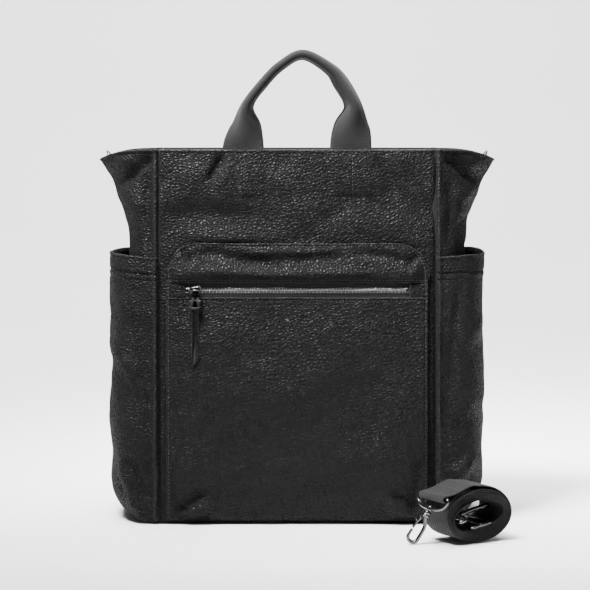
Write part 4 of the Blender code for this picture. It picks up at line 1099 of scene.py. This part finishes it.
def link_and_pull():
    low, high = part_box("front_zip_link")
    joints = {joint["name"]: joint for joint in frame["record"]["behaviour"]["joints"]}
    top = Vector(joints["zip_link_lift"]["pos_m"])
    pivot = Vector(joints["zip_pull_lift"]["pos_m"])
    down = (pivot - top).normalized()
    lean = math.atan2(-down.y, -down.z)
    turn = Matrix.Translation(pivot) @ Matrix.Rotation(-lean, 4, "X")
    half = (high.x - low.x) / 2 - 0.0008
    reach = (pivot - top).length
    line = [(-half * 0.55, 0, reach), (half * 0.55, 0, reach), (half, 0, reach * 0.75),
            (half, 0, 0.0016), (half * 0.8, 0, 0.0), (-half * 0.8, 0, 0.0), (-half, 0, 0.0016),
            (-half, 0, reach * 0.75)]
    ring = curved([*line, line[0]], 4)[:-1]
    points, faces = moved(tube(ring, 0.0008, closed=True, sides=12), turn)
    fitting("front_zip_link_ring", points, faces, "zip_link", "front_zip_link")
    # The pull: a strip passed through the link and through its own slit.
    outline = [(-0.0032, -0.0030), (-0.0041, -0.0585), (-0.0028, -0.0618), (0.0006, -0.0600),
               (0.0036, -0.0552), (0.0036, -0.0030)]
    strip = rounded(outline, 0.0012)
    parts = [moved(plate(strip, 0.0022, 0.0007), Matrix.Translation((0, -0.0002, 0)))]
    for side in (-1, 1):
        lines = np.array([(side * 0.0029, -0.00118, t) for t in np.linspace(-0.010, -0.055, 30)])
        parts.append(tube(lines, 0.00035, sides=6))
    collar = curved([(0.0038, -0.0012, -0.0062), (0.0030, -0.0034, -0.0036), (0.0026, -0.0030, 0.0002),
                     (0.0022, 0.0, 0.0021), (0.0014, 0.0012, 0.0012)], 6)
    other = collar * np.array([-1, 1, 1])
    parts.append(tube(collar, np.linspace(0.0013, 0.0008, len(collar)), sides=10, flat=1.4))
    parts.append(tube(other, np.linspace(0.0013, 0.0008, len(other)), sides=10, flat=1.4))
    band = curved([(-0.0047, -0.0010, -0.0058), (-0.0030, -0.0034, -0.0068), (0.0, -0.0040, -0.0076),
                   (0.0030, -0.0034, -0.0068), (0.0047, -0.0010, -0.0058)], 6)
    parts.append(tube(band, 0.0014, sides=10, flat=1.2))
    wrap = [(-0.0034, -0.0090), (0.0034, -0.0090), (0.0038, 0.0010), (-0.0038, 0.0010)]
    parts.append(moved(plate(rounded(wrap, 0.0014), 0.0030, 0.0012), Matrix.Translation((0, -0.0006, 0))))
    points, faces = moved(joined(*parts), turn)
    item = piece("front_zip_pull_leather", points, faces, SMOOTH, "smooth_leather", "zip_pull",
                 ("front_zip_pull",))
    note(item, "rub", np.full(len(points), 0.15))


# ---------------------------------------------------------------- back pocket, base and inside


def back_pocket():
    seam_x = BACK_POCKET_X - STITCH_IN
    seam_z = BACK_POCKET_FOOT + STITCH_IN
    x, z = np.meshgrid(
        marks(-BACK_POCKET_X, BACK_POCKET_X, 0.0028, (-seam_x, seam_x)),
        marks(BACK_POCKET_FOOT, BACK_POCKET_TOP, 0.0030, (BACK_POCKET_HEM, seam_z)),
    )
    points = np.stack([x, 0 * x + 0.3, z], -1)
    edge = np.minimum(BACK_POCKET_X - np.abs(x), z - BACK_POCKET_FOOT)
    lift = 0.0050 + (0.0009 * ripple(points, 0.08, 51) + 0.0014) * smooth(edge / 0.03)
    lift += 0.0012 * smooth((z - 0.20) / 0.045) * np.clip(1 - (x / BACK_POCKET_X) ** 2, 0, 1)
    lift += fold(x, z, [(-0.09, 0.235), (-0.05, 0.215), (0.02, 0.208)], 0.007, -0.0012, 0.2)
    lift -= 0.0006 * bump(BACK_POCKET_X - np.abs(x), 0.0022, 0.0008) + 0.0006 * bump(z, seam_z, 0.0008)
    lift -= 0.0006 * bump(z, BACK_POCKET_HEM, 0.0008)
    lift += 0.0006 * smooth((z - BACK_POCKET_HEM - 0.0008) / 0.0008)
    face = on_front(x, z, lift, back=True)
    hide("back_pocket_leather", face, "back_pocket", rub=0.5 * bump(BACK_POCKET_TOP - z, 0, 0.0016))
    rows = []
    for level in (BACK_POCKET_HEM, seam_z):
        near = int(np.argmin(np.abs(z[:, 0] - level)))
        rows.append(stitches(face[near, 3:-3], (0, 1, 0)))
    for column in (-seam_x, seam_x):
        near = int(np.argmin(np.abs(x[0] - column)))
        rows.append(stitches(face[3:, near], (0, 1, 0)))
    sewn("back_pocket_stitches", rows)


def plan_loop(z, inset, count=60):
    """The whole plan outline at a height, moved inwards, anticlockwise from the front left seam."""
    shares = np.linspace(0, 1, count)
    x, y = side_plan(float(side_reach(z)), float(half_depth(z)), float(plan_power(z)), shares)
    straight = np.linspace(-SEAM_X, SEAM_X, 60)[1:-1]
    front = np.stack([straight, np.full(58, -half_depth(z))], -1)
    right = np.stack([x, y], -1)
    loop = np.concatenate([front, right, -front, -right])
    ahead = np.roll(loop, -1, 0) - np.roll(loop, 1, 0)
    ahead /= np.linalg.norm(ahead, axis=1)[:, None]
    inward = np.stack([-ahead[:, 1], ahead[:, 0]], -1)
    return loop + inward * inset, loop


def base():
    loop, _ = plan_loop(WALL_FOOT, -0.0004)
    profile = [(0.30, 0.0), (0.80, 0.0), (0.97, 0.0), (0.990, 0.0003), (0.998, 0.0008), (1.0, 0.0014),
               (0.997, 0.0019), (0.985, 0.0020), (0.60, 0.0020), (0.30, 0.0020)]
    rows = [np.concatenate([loop * share, np.full((len(loop), 1), z)], 1) for share, z in profile]
    count = len(loop)
    points = np.concatenate([*rows, [(0, 0, 0.0), (0, 0, 0.0020)]])
    faces = [list(f) for f in grid_faces(len(rows), count, True)]
    last = (len(rows) - 1) * count
    faces += [[(k + 1) % count, k, len(points) - 2] for k in range(count)]
    faces += [[last + k, last + (k + 1) % count, len(points) - 1] for k in range(count)]
    item = piece("base_leather", points, faces, PEBBLED, "pebbled_leather", "bag", ("base_panel",))
    note(item, "rub", np.concatenate([
        np.repeat([bump(share, 1.0, 0.02) for share, _ in profile], count), [0, 0]
    ]))
    loop, _ = plan_loop(WALL_FOOT, 0.0034)
    rows = [np.concatenate([loop * share, np.full((count, 1), z)], 1)
            for share, z in ((0.3, 0.0024), (0.995, 0.0024), (1.0, 0.0028), (1.0, 0.0038), (0.995, 0.0042),
                             (0.3, 0.0042))]
    points = np.concatenate([*rows, [(0, 0, 0.0024), (0, 0, 0.0042)]])
    faces = [list(f) for f in grid_faces(len(rows), count, True)]
    last = (len(rows) - 1) * count
    faces += [[(k + 1) % count, k, len(points) - 2] for k in range(count)]
    faces += [[last + k, last + (k + 1) % count, len(points) - 1] for k in range(count)]
    piece("base_stiffener", points, faces, BOARD, "board", "bag", ("base_board",))


def seam_tapes():
    """Binding sewn over the inside of the four upright seams."""
    for name, side, back in (("front_left", -1, False), ("front_right", 1, False),
                             ("back_right", -1, True), ("back_left", 1, True)):
        low, high = sorted((side * (SEAM_X - 0.006), side * (SEAM_X + 0.0041)))
        x, z = np.meshgrid(marks(low, high, 0.002), marks(0.0060, RIM_Z - 0.0006, 0.006))
        shell(f"seam_tape_{name}", on_front(x, z, -0.00225, back), 0.0004, SMOOTH, "smooth_leather", "bag")


def inside():
    heights = marks(0.0049, 0.3134, 0.005)
    rows = []
    for z in heights:
        slack = 0.0030 + 0.0022 * float(round_in(z, 0.035))
        loop, wall = plan_loop(z, slack)
        rows.append(np.concatenate([loop, drooped(wall[:, 0], z)[:, None]], 1))
    face = np.array(rows)
    # The floor of the lining closes towards the middle in flat rings.
    floor = [np.concatenate([face[0, :, :2] * share, np.full((len(face[0]), 1), 0.0047)], 1)
             for share in (0.02, 0.3, 0.6, 0.9, 0.985)]
    face = np.concatenate([np.array(floor), face])
    normal = normals_of(face, True)
    slack = 0.0009 * (ripple(face, 0.055, 61) - 1.2) * smooth((face[..., 2] - 0.006) / 0.02)
    face = face + normal * slack[..., None] * (face[..., 2:] < 0.305)
    shell("lining_cloth_bag", face, 0.0005, LINING, "lining_cloth", "bag", ("lining",), closed=True)
    stitched = []
    for name, back in (("front", False), ("back", True)):
        x, z = np.meshgrid(marks(-SEAM_X, SEAM_X, 0.005), marks(FOOT_Z, RIM_Z, 0.003, (FOOT_Z + 0.004,)))
        stand = -0.0046 - 0.0004 * bump(z, FOOT_Z + 0.004, 0.0008)
        face = on_front(x, z, stand, back)
        shell(f"{name}_facing_leather", face, 0.0012, SMOOTH, "smooth_leather", "bag",
              (f"{name}_facing",))
        line = np.linspace(-SEAM_X + 0.004, SEAM_X - 0.004, 60)
        row = on_front(line, np.full(60, FOOT_Z + 0.004), np.full(60, -0.0059), back)
        stitched.append(stitches(row, (0, -1 if back else 1, 0)))
        x, z = np.meshgrid(
            marks(-INNER_POCKET_X, INNER_POCKET_X, 0.004),
            marks(INNER_POCKET_FOOT, INNER_POCKET_TOP, 0.004, (INNER_POCKET_HEM,)),
        )
        points = np.stack([x, 0 * x, z], -1)
        edge = np.minimum(INNER_POCKET_X - np.abs(x), z - INNER_POCKET_FOOT)
        stand = -0.0042 - (0.0012 + 0.0005 * ripple(points, 0.05, 71)) * smooth(edge / 0.02)
        face = on_front(x, z, stand, back)
        shell(f"interior_pocket_{name}_cloth", face, 0.0006, LINING, "lining_cloth", "bag",
              (f"interior_pocket_{name}",))
        line = np.linspace(-INNER_POCKET_X + 0.002, INNER_POCKET_X - 0.002, 50)
        row = on_front(line, np.full(50, INNER_POCKET_HEM), np.full(50, -0.0068), back)
        stitched.append(stitches(row, (0, -1 if back else 1, 0)))
    sewn("inside_stitches", stitched)


# ---------------------------------------------------------------- handles


# Place across the bag, height over the rim, width seen from the front.
HANDLE_PATH = (
    (-0.0520, -0.0425, HANDLE_WIDTH), (-0.0520, -0.0200, HANDLE_WIDTH), (-0.0520, 0.0009, HANDLE_WIDTH),
    (-0.0495, 0.0210, 0.0290), (-0.0480, 0.0420, 0.0110), (-0.0322, 0.0636, 0.0088),
    (-0.0162, 0.0796, 0.0085), (0.0056, 0.0905, 0.0085), (0.0308, 0.0775, 0.0105),
    (0.0424, 0.0636, 0.0145), (0.0540, 0.0420, 0.0160), (0.0530, 0.0210, 0.0335),
    (0.0520, 0.0009, HANDLE_WIDTH), (0.0520, -0.0200, HANDLE_WIDTH), (0.0520, -0.0425, HANDLE_WIDTH),
)


def handle(name, back, nodes):
    """Webbing sewn flat inside the rim, folded in half along the grip and blended at the rim."""
    thick = 0.0019
    path = curved(HANDLE_PATH, 12)
    wide = np.minimum(path[:, 2], HANDLE_WIDTH)
    path = path[:, :2]
    height = path[:, 1] + RIM_Z
    line = np.gradient(path, axis=0)
    line /= np.linalg.norm(line, axis=1)[:, None]
    across = np.stack([-line[:, 1], line[:, 0]], -1)
    run = np.concatenate([[0], np.cumsum(np.linalg.norm(np.diff(path, axis=0), axis=1))])
    columns = 33
    w = np.linspace(-HANDLE_WIDTH / 2, HANDLE_WIDTH / 2, columns)
    rows, lay = [], []
    for index, flat in enumerate(wide):
        # The strip bends round its middle until it is as wide as it looks from the front.
        bend = np.clip((HANDLE_WIDTH - flat) / (HANDLE_WIDTH - GRIP_WIDTH), 0, 1)
        arc_part = 0.0110 + 0.012 * (1 - bend)
        theta = max(1e-3, math.pi * 0.98 * bend ** 0.75)
        radius = arc_part / theta
        beyond = np.clip(np.abs(w) - arc_part / 2, 0, None)
        angle = np.clip(w, -arc_part / 2, arc_part / 2) / radius
        u = radius * np.sin(angle) + np.sign(w) * beyond * math.cos(theta / 2)
        v = radius * (1 - np.cos(angle)) + beyond * math.sin(theta / 2)
        u *= flat / max(u.max() - u.min() + thick * bend, 1e-6)
        v = v - (v.max() + v.min()) / 2
        v += 0.0006 * np.sin(run[index] * 95 + w * 150) * smooth((path[index, 1] - 0.004) / 0.02) * (1 - bend)
        du, dv = np.gradient(u), np.gradient(v)
        length = np.hypot(du, dv)
        nu, nv = -dv / length, du / length
        edge = 1 - 0.6 * np.clip(1 - (HANDLE_WIDTH / 2 - np.abs(w)) / 0.0012, 0, 1) ** 2
        ring = []
        for offset in (1, -1):
            uu = u + nu * offset * thick / 2 * edge
            vv = v + nv * offset * thick / 2 * edge
            keep = slice(None) if offset > 0 else slice(None, None, -1)
            for one, two, three in zip(uu[keep], vv[keep], w[keep]):
                ring.append((path[index, 0] + across[index, 0] * one, two,
                             height[index] + across[index, 1] * one))
                lay.append((run[index], three, 0))
        rows.append(ring)
    points = np.array(rows)
    depth = np.where(height < RIM_Z, half_depth(height) - 0.0033, RIM_HALF_DEPTH - 0.0033)
    points[..., 1] -= depth[:, None]
    if back:
        # The back handle bends the same way but stands on the other side of the mouth.
        points[..., 1] *= -1
    sides = 2 * columns
    faces = [list(f) for f in grid_faces(len(path), sides, True)]
    last = (len(path) - 1) * sides
    for k in range(columns - 1):
        far = sides - 1 - k
        faces.append([k + 1, k, far, far - 1])
        faces.append([last + k, last + k + 1, last + far - 1, last + far])
    if back:
        faces = [face[::-1] for face in faces]
    item = piece(name, points.reshape(-1, 3), faces, WEBBING, "webbing", None, nodes)
    note(item, "lay", lay)
    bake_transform(item)
    return item


def handle_stitches():
    """The stitches that hold the handles' feet, seen on the outside of the panels."""
    rows = []
    for path in (T_LEFT, T_LEFT_FOOT, T_RIGHT, T_RIGHT_FOOT):
        (x0, z0), (x1, z1) = path
        x, z = np.linspace(x0, x1, 30), np.linspace(z0, z1, 30)
        rows.append(stitches(on_front(x, z, front_lift(x, z) + 0.00015), (0, -1, 0), 0.0032, 0.0024))
    for middle in (-HANDLE_X, HANDLE_X):
        for (x0, z0), (x1, z1) in (((middle, 0.3538), (middle, 0.3155)),
                                   ((middle - 0.0148, 0.3155), (middle + 0.0148, 0.3155))):
            x, z = np.linspace(x0, x1, 30), np.linspace(z0, z1, 30)
            rows.append(stitches(on_front(x, z, back_lift(x, z) + 0.00015, True), (0, 1, 0), 0.0032, 0.0024))
    sewn("handle_foot_stitches", rows)


# ---------------------------------------------------------------- rings and snap


def wing_ring(name, side):
    bar = Matrix.Translation((side * RING_SEAT_X, 0, RIM_Z - RING_DROP))
    seat = bar @ Matrix.Rotation(side * math.radians(30), 4, "Y")
    half = 0.0113
    bow = [(0, half * math.cos(a), 0.0165 * math.sin(a) ** 0.7)
           for a in np.linspace(0.10, math.pi - 0.10, 15)]
    line = curved([(0, half, 0.0), *bow, (0, -half, 0.0), (0, -half * 0.4, -0.0001), (0, half * 0.4, -0.0001),
                   (0, half, 0.0)], 3)[:-1]
    points, faces = moved(tube(line, 0.0013, closed=True, sides=14), seat)
    fitting(f"{name}_wing_ring", points, faces, f"ring_{name}", f"{name}_ring")
    turn = bar @ Matrix.Rotation(side * math.radians(14), 4, "Y")
    outer, inner = 0.0031, 0.0018
    around = [(math.cos(a), math.sin(a)) for a in np.radians(np.linspace(-70, 250, 24))]
    middle = (outer + inner) / 2
    line = [(middle * math.cos(math.radians(-70)) * 0.4, -0.022), (middle * 0.35, -0.006)]
    line += [(middle * c, middle * s) for c, s in around]
    line += [(-middle * 0.35, -0.006), (-middle * math.cos(math.radians(-70)) * 0.4, -0.022)]
    line = np.array(line)
    y = marks(-0.008, 0.008, 0.002)
    face = np.stack([
        np.repeat(line[:, 0][:, None], len(y), 1), np.repeat(y[None], len(line), 0),
        np.repeat(line[:, 1][:, None], len(y), 1),
    ], -1)
    face = face + normals_of(face) * 0.0006
    flat = np.array(turn)
    face = face @ flat[:3, :3].T + flat[:3, 3]
    shell(f"{name}_ring_tab_leather", face, 0.0011, SMOOTH, "smooth_leather", "bag", (f"{name}_ring_tab",))


def snap(name, side, node, stud):
    low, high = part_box(node)
    centre = (low + high) / 2
    slope = math.atan((half_depth(0.329) - half_depth(0.347)) / 0.018)
    seat = Matrix.Translation(centre) @ Matrix.Rotation(math.pi / 2 * side + side * slope, 4, "X")
    profile = [(0.0088, -0.0010), (0.0090, -0.0006), (0.0090, 0.0002), (0.0084, 0.0007), (0.0072, 0.0009)]
    profile += [(0.0060, 0.0006), (0.0034, 0.0006)]
    profile += [(0.0030, 0.0016), (0.0010, 0.0018)] if stud else [(0.0030, -0.0004), (0.0010, -0.0004)]
    fitting(name, *moved(turned(profile, 40), seat), "bag", node)


# ---------------------------------------------------------------- rolled strap

ROLL = Matrix.Translation((0.1565, -0.153, 0)) @ Matrix.Rotation(math.radians(30), 4, "Z")
ROLL_LIFT = 0.026
CORE = ROLL @ Matrix.Translation((0, 0, ROLL_LIFT)) @ Matrix.Rotation(-math.radians(10), 4, "Y")
EYE_BAR = Vector((-0.037, 0, 0.0431))
EYE_DEPTH = 0.011
HOOK_LENGTH = 0.0350
HOOK_HALF = 0.0047
BOSS = 0.0046


def strap():
    ply, width = 0.00108, 0.040
    turns = 7.62
    angle = np.linspace(0, math.tau * turns, 560)
    share = angle / (math.tau * turns)
    start = math.radians(92) - math.tau * turns
    round_at = angle + start
    loose = 0.00010 * np.sin(round_at * 2.3 + 1.0) * smooth(share * 4)
    a = 0.0274 + (0.0358 - 0.0274) * share + loose
    b = 0.0131 + (0.0253 - 0.0131) * share + loose * 0.5
    tilt = math.radians(10) * (1 - smooth(share * 1.1))
    final = smooth((share * turns - (turns - 0.26)) / 0.24)
    along, up = a * np.cos(round_at), b * np.sin(round_at)
    x = along * np.cos(tilt) - up * np.sin(tilt)
    z = ROLL_LIFT + along * np.sin(tilt) + up * np.cos(tilt) + 0.0019 * final
    end = [(-0.0080, 0.0541), (-0.0160, 0.0518), (-0.0245, 0.0487), (-0.0315, 0.0467)]
    bar = (EYE_BAR.x, EYE_BAR.z)
    end += [(bar[0] + 0.0030 * math.cos(t), bar[1] + 0.0030 * math.sin(t))
            for t in np.radians(np.linspace(95, 265, 8))]
    end += [(-0.0315, 0.0405), (-0.0245, 0.0462), (-0.0180, 0.0487), (-0.0110, 0.0508)]
    spiral = np.stack([x, np.zeros_like(x), z], -1)
    tail = curved([tuple(spiral[-1]), *[(u, 0, v) for u, v in end]], 6)[1:]
    path = np.concatenate([spiral, tail])
    line = np.gradient(path, axis=0)
    line /= np.linalg.norm(line, axis=1)[:, None]
    out = np.cross(line, [0.0, 1.0, 0.0])
    run = np.concatenate([[0], np.cumsum(np.linalg.norm(np.diff(path, axis=0), axis=1))])
    across = np.concatenate([[-1, -0.985, -0.95], np.linspace(-0.88, 0.88, 9), [0.95, 0.985, 1]]) * width / 2
    fat = np.array([0.45, 0.85, 1.0] + [1.0] * 9 + [1.0, 0.85, 0.45]) * ply / 2
    drift = 0.0009 * np.sin(run * 34) + 0.0005 * np.sin(run * 83 + 1)
    drift *= smooth((run[-1] - run) / 0.1)
    rows, lay = [], []
    for point, side, at, shift in zip(path, out, run, drift):
        ring = [point + side * f + np.array([0, w + shift, 0]) for w, f in zip(across, fat)]
        ring += [point - side * f + np.array([0, w + shift, 0]) for w, f in zip(across[::-1], fat[::-1])]
        rows.append(ring)
        lay += [(at, w, 0) for w in across] + [(at, w, 0) for w in across[::-1]]
    sides = 2 * len(across)
    faces = [list(f)[::-1] for f in grid_faces(len(path), sides, True)]
    last = (len(path) - 1) * sides
    faces += [list(range(sides)), [last + k for k in range(sides)][::-1]]
    points, faces = moved((np.array(rows).reshape(-1, 3), faces), ROLL)
    item = piece("strap_webbing", points, faces, WEBBING, "webbing", "strap",
                 ("strap_roll", "strap_end_tab"))
    note(item, "lay", lay)
    seam = np.array([(-0.0215, y, 0.0506) for y in np.linspace(-0.017, 0.017, 20)])
    stitched = [stitches(seam + np.array([shift, 0, -shift * 0.33]), (-0.3, 0, 0.95))
                for shift in (0.0, 0.005)]
    sewn = piece("strap_end_stitches", *moved(joined(*stitched), ROLL), THREAD_FINISH, "webbing", "strap")
    return item


def eye_parts(drop):
    """A swivel eye whose bar is at the origin; drop is the way its stem points."""
    half = 0.0415 / 2 + 0.0016
    bow = [(0, half, 0), (0, half, -0.40 * EYE_DEPTH), (0, 0.88 * half, -0.72 * EYE_DEPTH),
           (0, 0.5 * half, -0.95 * EYE_DEPTH), (0, 0, -EYE_DEPTH)]
    bow += [(x, -y, z) for x, y, z in bow[-2::-1]]
    line = curved([*bow, (0, -half * 0.5, 0), (0, half * 0.5, 0), bow[0]], 5)[:-1]
    ring = tube(line, 0.0016, closed=True, sides=14)
    turn = Vector((0, 0, -1)).rotation_difference(drop).to_matrix().to_4x4()
    seat = Matrix.Translation((0, 0, -EYE_DEPTH)) @ turn
    stem_end = -(BOSS / 2 + 0.0004 + 0.0035)
    profile = [(0.0010, stem_end), (0.0013, stem_end + 0.0003), (0.0013, -BOSS / 2), (0.0026, -BOSS / 2),
               (0.0027, -0.0010), (0.0027, 0.0010), (0.0022, BOSS / 2), (0.0010, BOSS / 2 + 0.0002)]
    return joined(ring, moved(turned(profile, 24), seat))


def hook_frame(post, aim, facing):
    up = -aim.normalized()
    flat = facing @ Vector((0, 1, 0))
    flat = (flat - up * flat.dot(up)).normalized()
    axes = Matrix((flat.cross(up), flat, up)).transposed().to_4x4()
    return Matrix.Translation(post) @ axes


def hook_parts():
    """The hook's swivel barrel and its teardrop body; it hangs along -Z from the origin."""
    top = -(BOSS / 2 + 0.0004)
    foot = top - 0.0065
    bend = -HOOK_LENGTH + HOOK_HALF
    nose = bend + 0.006
    line = [(0.0, 0, foot + 0.0022), (0.0008, 0, foot), (0.0030, 0, foot - 0.0045),
            (HOOK_HALF * 0.96, 0, foot - 0.010)]
    line += [(HOOK_HALF * math.cos(t), 0, bend + HOOK_HALF * math.sin(t))
             for t in np.radians(np.linspace(0, -180, 9))]
    line += [(-HOOK_HALF * 0.98, 0, nose)]
    path = curved(line, 5)
    taper = np.interp(np.linspace(0, 1, len(path)), [0, 0.2, 0.5, 0.85, 1.0],
                      [0.0019, 0.0016, 0.0018, 0.0016, 0.0012])
    body = tube(path, taper, sides=14, flat=1.15)
    profile = [(0.0016, foot), (0.0030, foot + 0.0006), (0.0034, foot + 0.0018), (0.0034, foot + 0.0026),
               (0.0030, foot + 0.0030), (0.0030, foot + 0.0036), (0.0034, foot + 0.0040),
               (0.0034, top - 0.0010), (0.0028, top - 0.0002), (0.0017, top)]
    return joined(body, turned(profile, 28))


def gate_parts():
    foot = -(BOSS / 2 + 0.0004) - 0.0065
    bend = -HOOK_LENGTH + HOOK_HALF
    start = Vector((-HOOK_HALF * 0.62, 0, foot - 0.0011 - 0.0004))
    end = Vector((-HOOK_HALF, 0, bend + 0.006 + 0.00085 + 0.0004))
    middle = start.lerp(end, 0.5) + Vector((-0.0004, 0, 0))
    path = curved([tuple(start), tuple(middle), tuple(end)], 8)
    thumb = start.lerp(end, 0.42) + Vector((-0.0022, 0, 0.0006))
    lever = curved([tuple(start.lerp(end, 0.35)), tuple(thumb)], 5)
    return joined(tube(path, 0.0011, sides=12), tube(lever, 0.0008, sides=10))


def hooks():
    hang = math.radians(20)
    post = EYE_BAR + Vector((-math.sin(hang), 0, -math.cos(hang))) * EYE_DEPTH
    drop = min(0.99, (post.z - 0.0017 - 0.0011) / HOOK_LENGTH)
    heading = math.radians(153.4)
    level = math.sqrt(1 - drop * drop)
    aim = Vector((level * math.cos(heading), level * math.sin(heading), -drop))
    eye_seat = ROLL @ Matrix.Translation(EYE_BAR) @ Matrix.Rotation(hang, 4, "Y")
    points, faces = moved(eye_parts(Matrix.Rotation(-hang, 3, "Y") @ aim), eye_seat)
    fitting("strap_eye_wire", points, faces, "hook_eye", "strap_eye")
    seat = ROLL @ hook_frame(post, aim, Matrix.Rotation(math.radians(-30), 3, "Z"))
    fitting("strap_hook_body", *moved(hook_parts(), seat), "hook", "strap_hook")
    fitting("strap_gate_bar", *moved(gate_parts(), seat), "hook_gate", "strap_gate")
    start = -(EYE_DEPTH + HOOK_LENGTH) / 2
    inner_seat = CORE @ Matrix.Translation((start, 0, 0)) @ Matrix.Rotation(-math.pi / 2, 4, "Y")
    points, faces = moved(eye_parts(Vector((0, 0, -1))), inner_seat)
    fitting("strap_inner_eye_wire", points, faces, "strap", "strap_inner_eye")
    seat = CORE @ hook_frame(Vector((start + EYE_DEPTH, 0, 0)), Vector((1, 0, 0)),
                             Matrix.Rotation(math.radians(60), 3, "X"))
    fitting("strap_inner_hook_body", *moved(hook_parts(), seat), "inner_hook", "strap_inner_hook")
    fitting("strap_inner_gate_bar", *moved(gate_parts(), seat), "inner_gate", "strap_inner_gate")


def adjuster():
    half, end = 0.0212, 0.0110
    corners = rounded([(-end, -half), (end, -half), (end, half), (-end, half)], 0.0028)
    z = -0.0093
    line = np.array([(u, v, z) for u, v in corners])
    bar = np.array([(0, v, z) for v in np.linspace(-half, half, 9)])
    part = joined(tube(line, 0.0012, closed=True, sides=12), tube(bar, 0.0012, sides=12))
    fitting("strap_adjuster_frame", *moved(part, CORE), "strap", "strap_adjuster")


# ---------------------------------------------------------------- stage, light and camera


def stage():
    floor = bpy.data.meshes.new("floor")
    depth = np.array([-6.0, -2.0, -0.6, 1.2, 1.7, 2.1, 2.4, 2.55, 2.6, 2.6])
    height = np.array([0.0, 0.0, 0.0, 0.0, 0.03, 0.16, 0.42, 0.75, 1.2, 5.0])
    across = np.array([-6.0, -2.0, -1.0, 1.0, 2.0, 6.0])
    points = [(x, y, z) for y, z in zip(depth, height) for x in across]
    floor.from_pydata(points, [], grid_faces(len(depth), len(across)).tolist())
    floor.polygons.foreach_set("use_smooth", np.ones(len(floor.polygons), bool))
    material, n, shader, place = begin("pale_floor", Specular_IOR_Level=0.2)
    parts = n.add("ShaderNodeSeparateXYZ", Vector=place).outputs
    # Painted shade: away from the set the floor and its sweep are dark grey, standing in for the unlit studio
    # around the lamps; only the middle is pale.
    pale = n.math("MULTIPLY", n.ramp(parts[1], -1.15, -0.45),
                  n.ramp(n.math("ABSOLUTE", parts[0]), 0.72, 1.25, 1.0, 0.0))
    tone = n.blend(pale, (0.36, 0.36, 0.36, 1), (0.83, 0.83, 0.83, 1))
    material.node_tree.links.new(tone, shader.inputs["Base Color"])
    shader.inputs["Roughness"].default_value = 0.9
    floor.materials.append(material)
    item = bpy.data.objects.new("floor", floor)
    bpy.context.scene.collection.objects.link(item)


def lamp(name, place, target, size, power, spread=180):
    light = bpy.data.lights.new(name, "AREA")
    light.shape = "RECTANGLE"
    light.size, light.size_y = size
    light.energy = power
    light.spread = math.radians(spread)
    item = bpy.data.objects.new(name, light)
    bpy.context.scene.collection.objects.link(item)
    item.location = place
    item.rotation_euler = (Vector(target) - Vector(place)).to_track_quat("-Z", "Y").to_euler()


def lights_and_camera():
    world = bpy.data.worlds.new("studio")
    bpy.context.scene.world = world
    world.use_nodes = True
    backdrop = world.node_tree.nodes["Background"]
    backdrop.inputs["Color"].default_value = (1.0, 1.0, 1.0, 1)
    backdrop.inputs["Strength"].default_value = 0.05
    lamp("overhead", (-0.25, -0.05, 2.6), (-0.05, 0.0, 0.0), (2.0, 1.6), 186)
    lamp("backdrop_wash", (0, 0.9, 2.6), (0, 2.7, 0.6), (1.8, 1.0), 145)
    lamp("key", (-0.42, -0.50, 1.45), (-0.02, 0.02, 0.52), (0.5, 0.4), 12, 46)
    lamp("rim", (1.9, -0.5, 1.3), (0, 0, 0.2), (0.5, 1.0), 4)
    camera = bpy.data.cameras.new("camera")
    camera.lens = 137.35
    camera.sensor_width = 36
    item = bpy.data.objects.new("camera", camera)
    bpy.context.scene.collection.objects.link(item)
    item.location = (-0.002, -2.2, 0.40)
    item.rotation_euler = (math.radians(85.15), 0, 0)
    bpy.context.scene.camera = item


# ---------------------------------------------------------------- the bag

stage()
lights_and_camera()
wall_panel("front_panel_leather", front_lift, "front_panel", False)
wall_panel("back_panel_leather", back_lift, "back_panel", True)
gusset("right_gusset_leather", 1, "right_gusset", 101)
gusset("left_gusset_leather", -1, "left_gusset", 111)
side_pocket("right_side_pocket_leather", 1, "right_side_pocket", 121)
side_pocket("left_side_pocket_leather", -1, "left_side_pocket", 131)
base()
front_pocket()
zip_chain()
slider_parts()
link_and_pull()
back_pocket()
seam_tapes()
inside()
handle("front_handle_webbing", False,
       ("front_handle", "front_handle_foot_left", "front_handle_foot_right"))
handle("back_handle_webbing", True,
       ("back_handle", "back_handle_foot_left", "back_handle_foot_right"))
handle_stitches()
wing_ring("right", 1)
wing_ring("left", -1)
snap("top_snap_socket_disc", 1, "top_snap_socket", False)
snap("top_snap_stud_disc", -1, "top_snap_stud", True)
strap()
hooks()
adjuster()
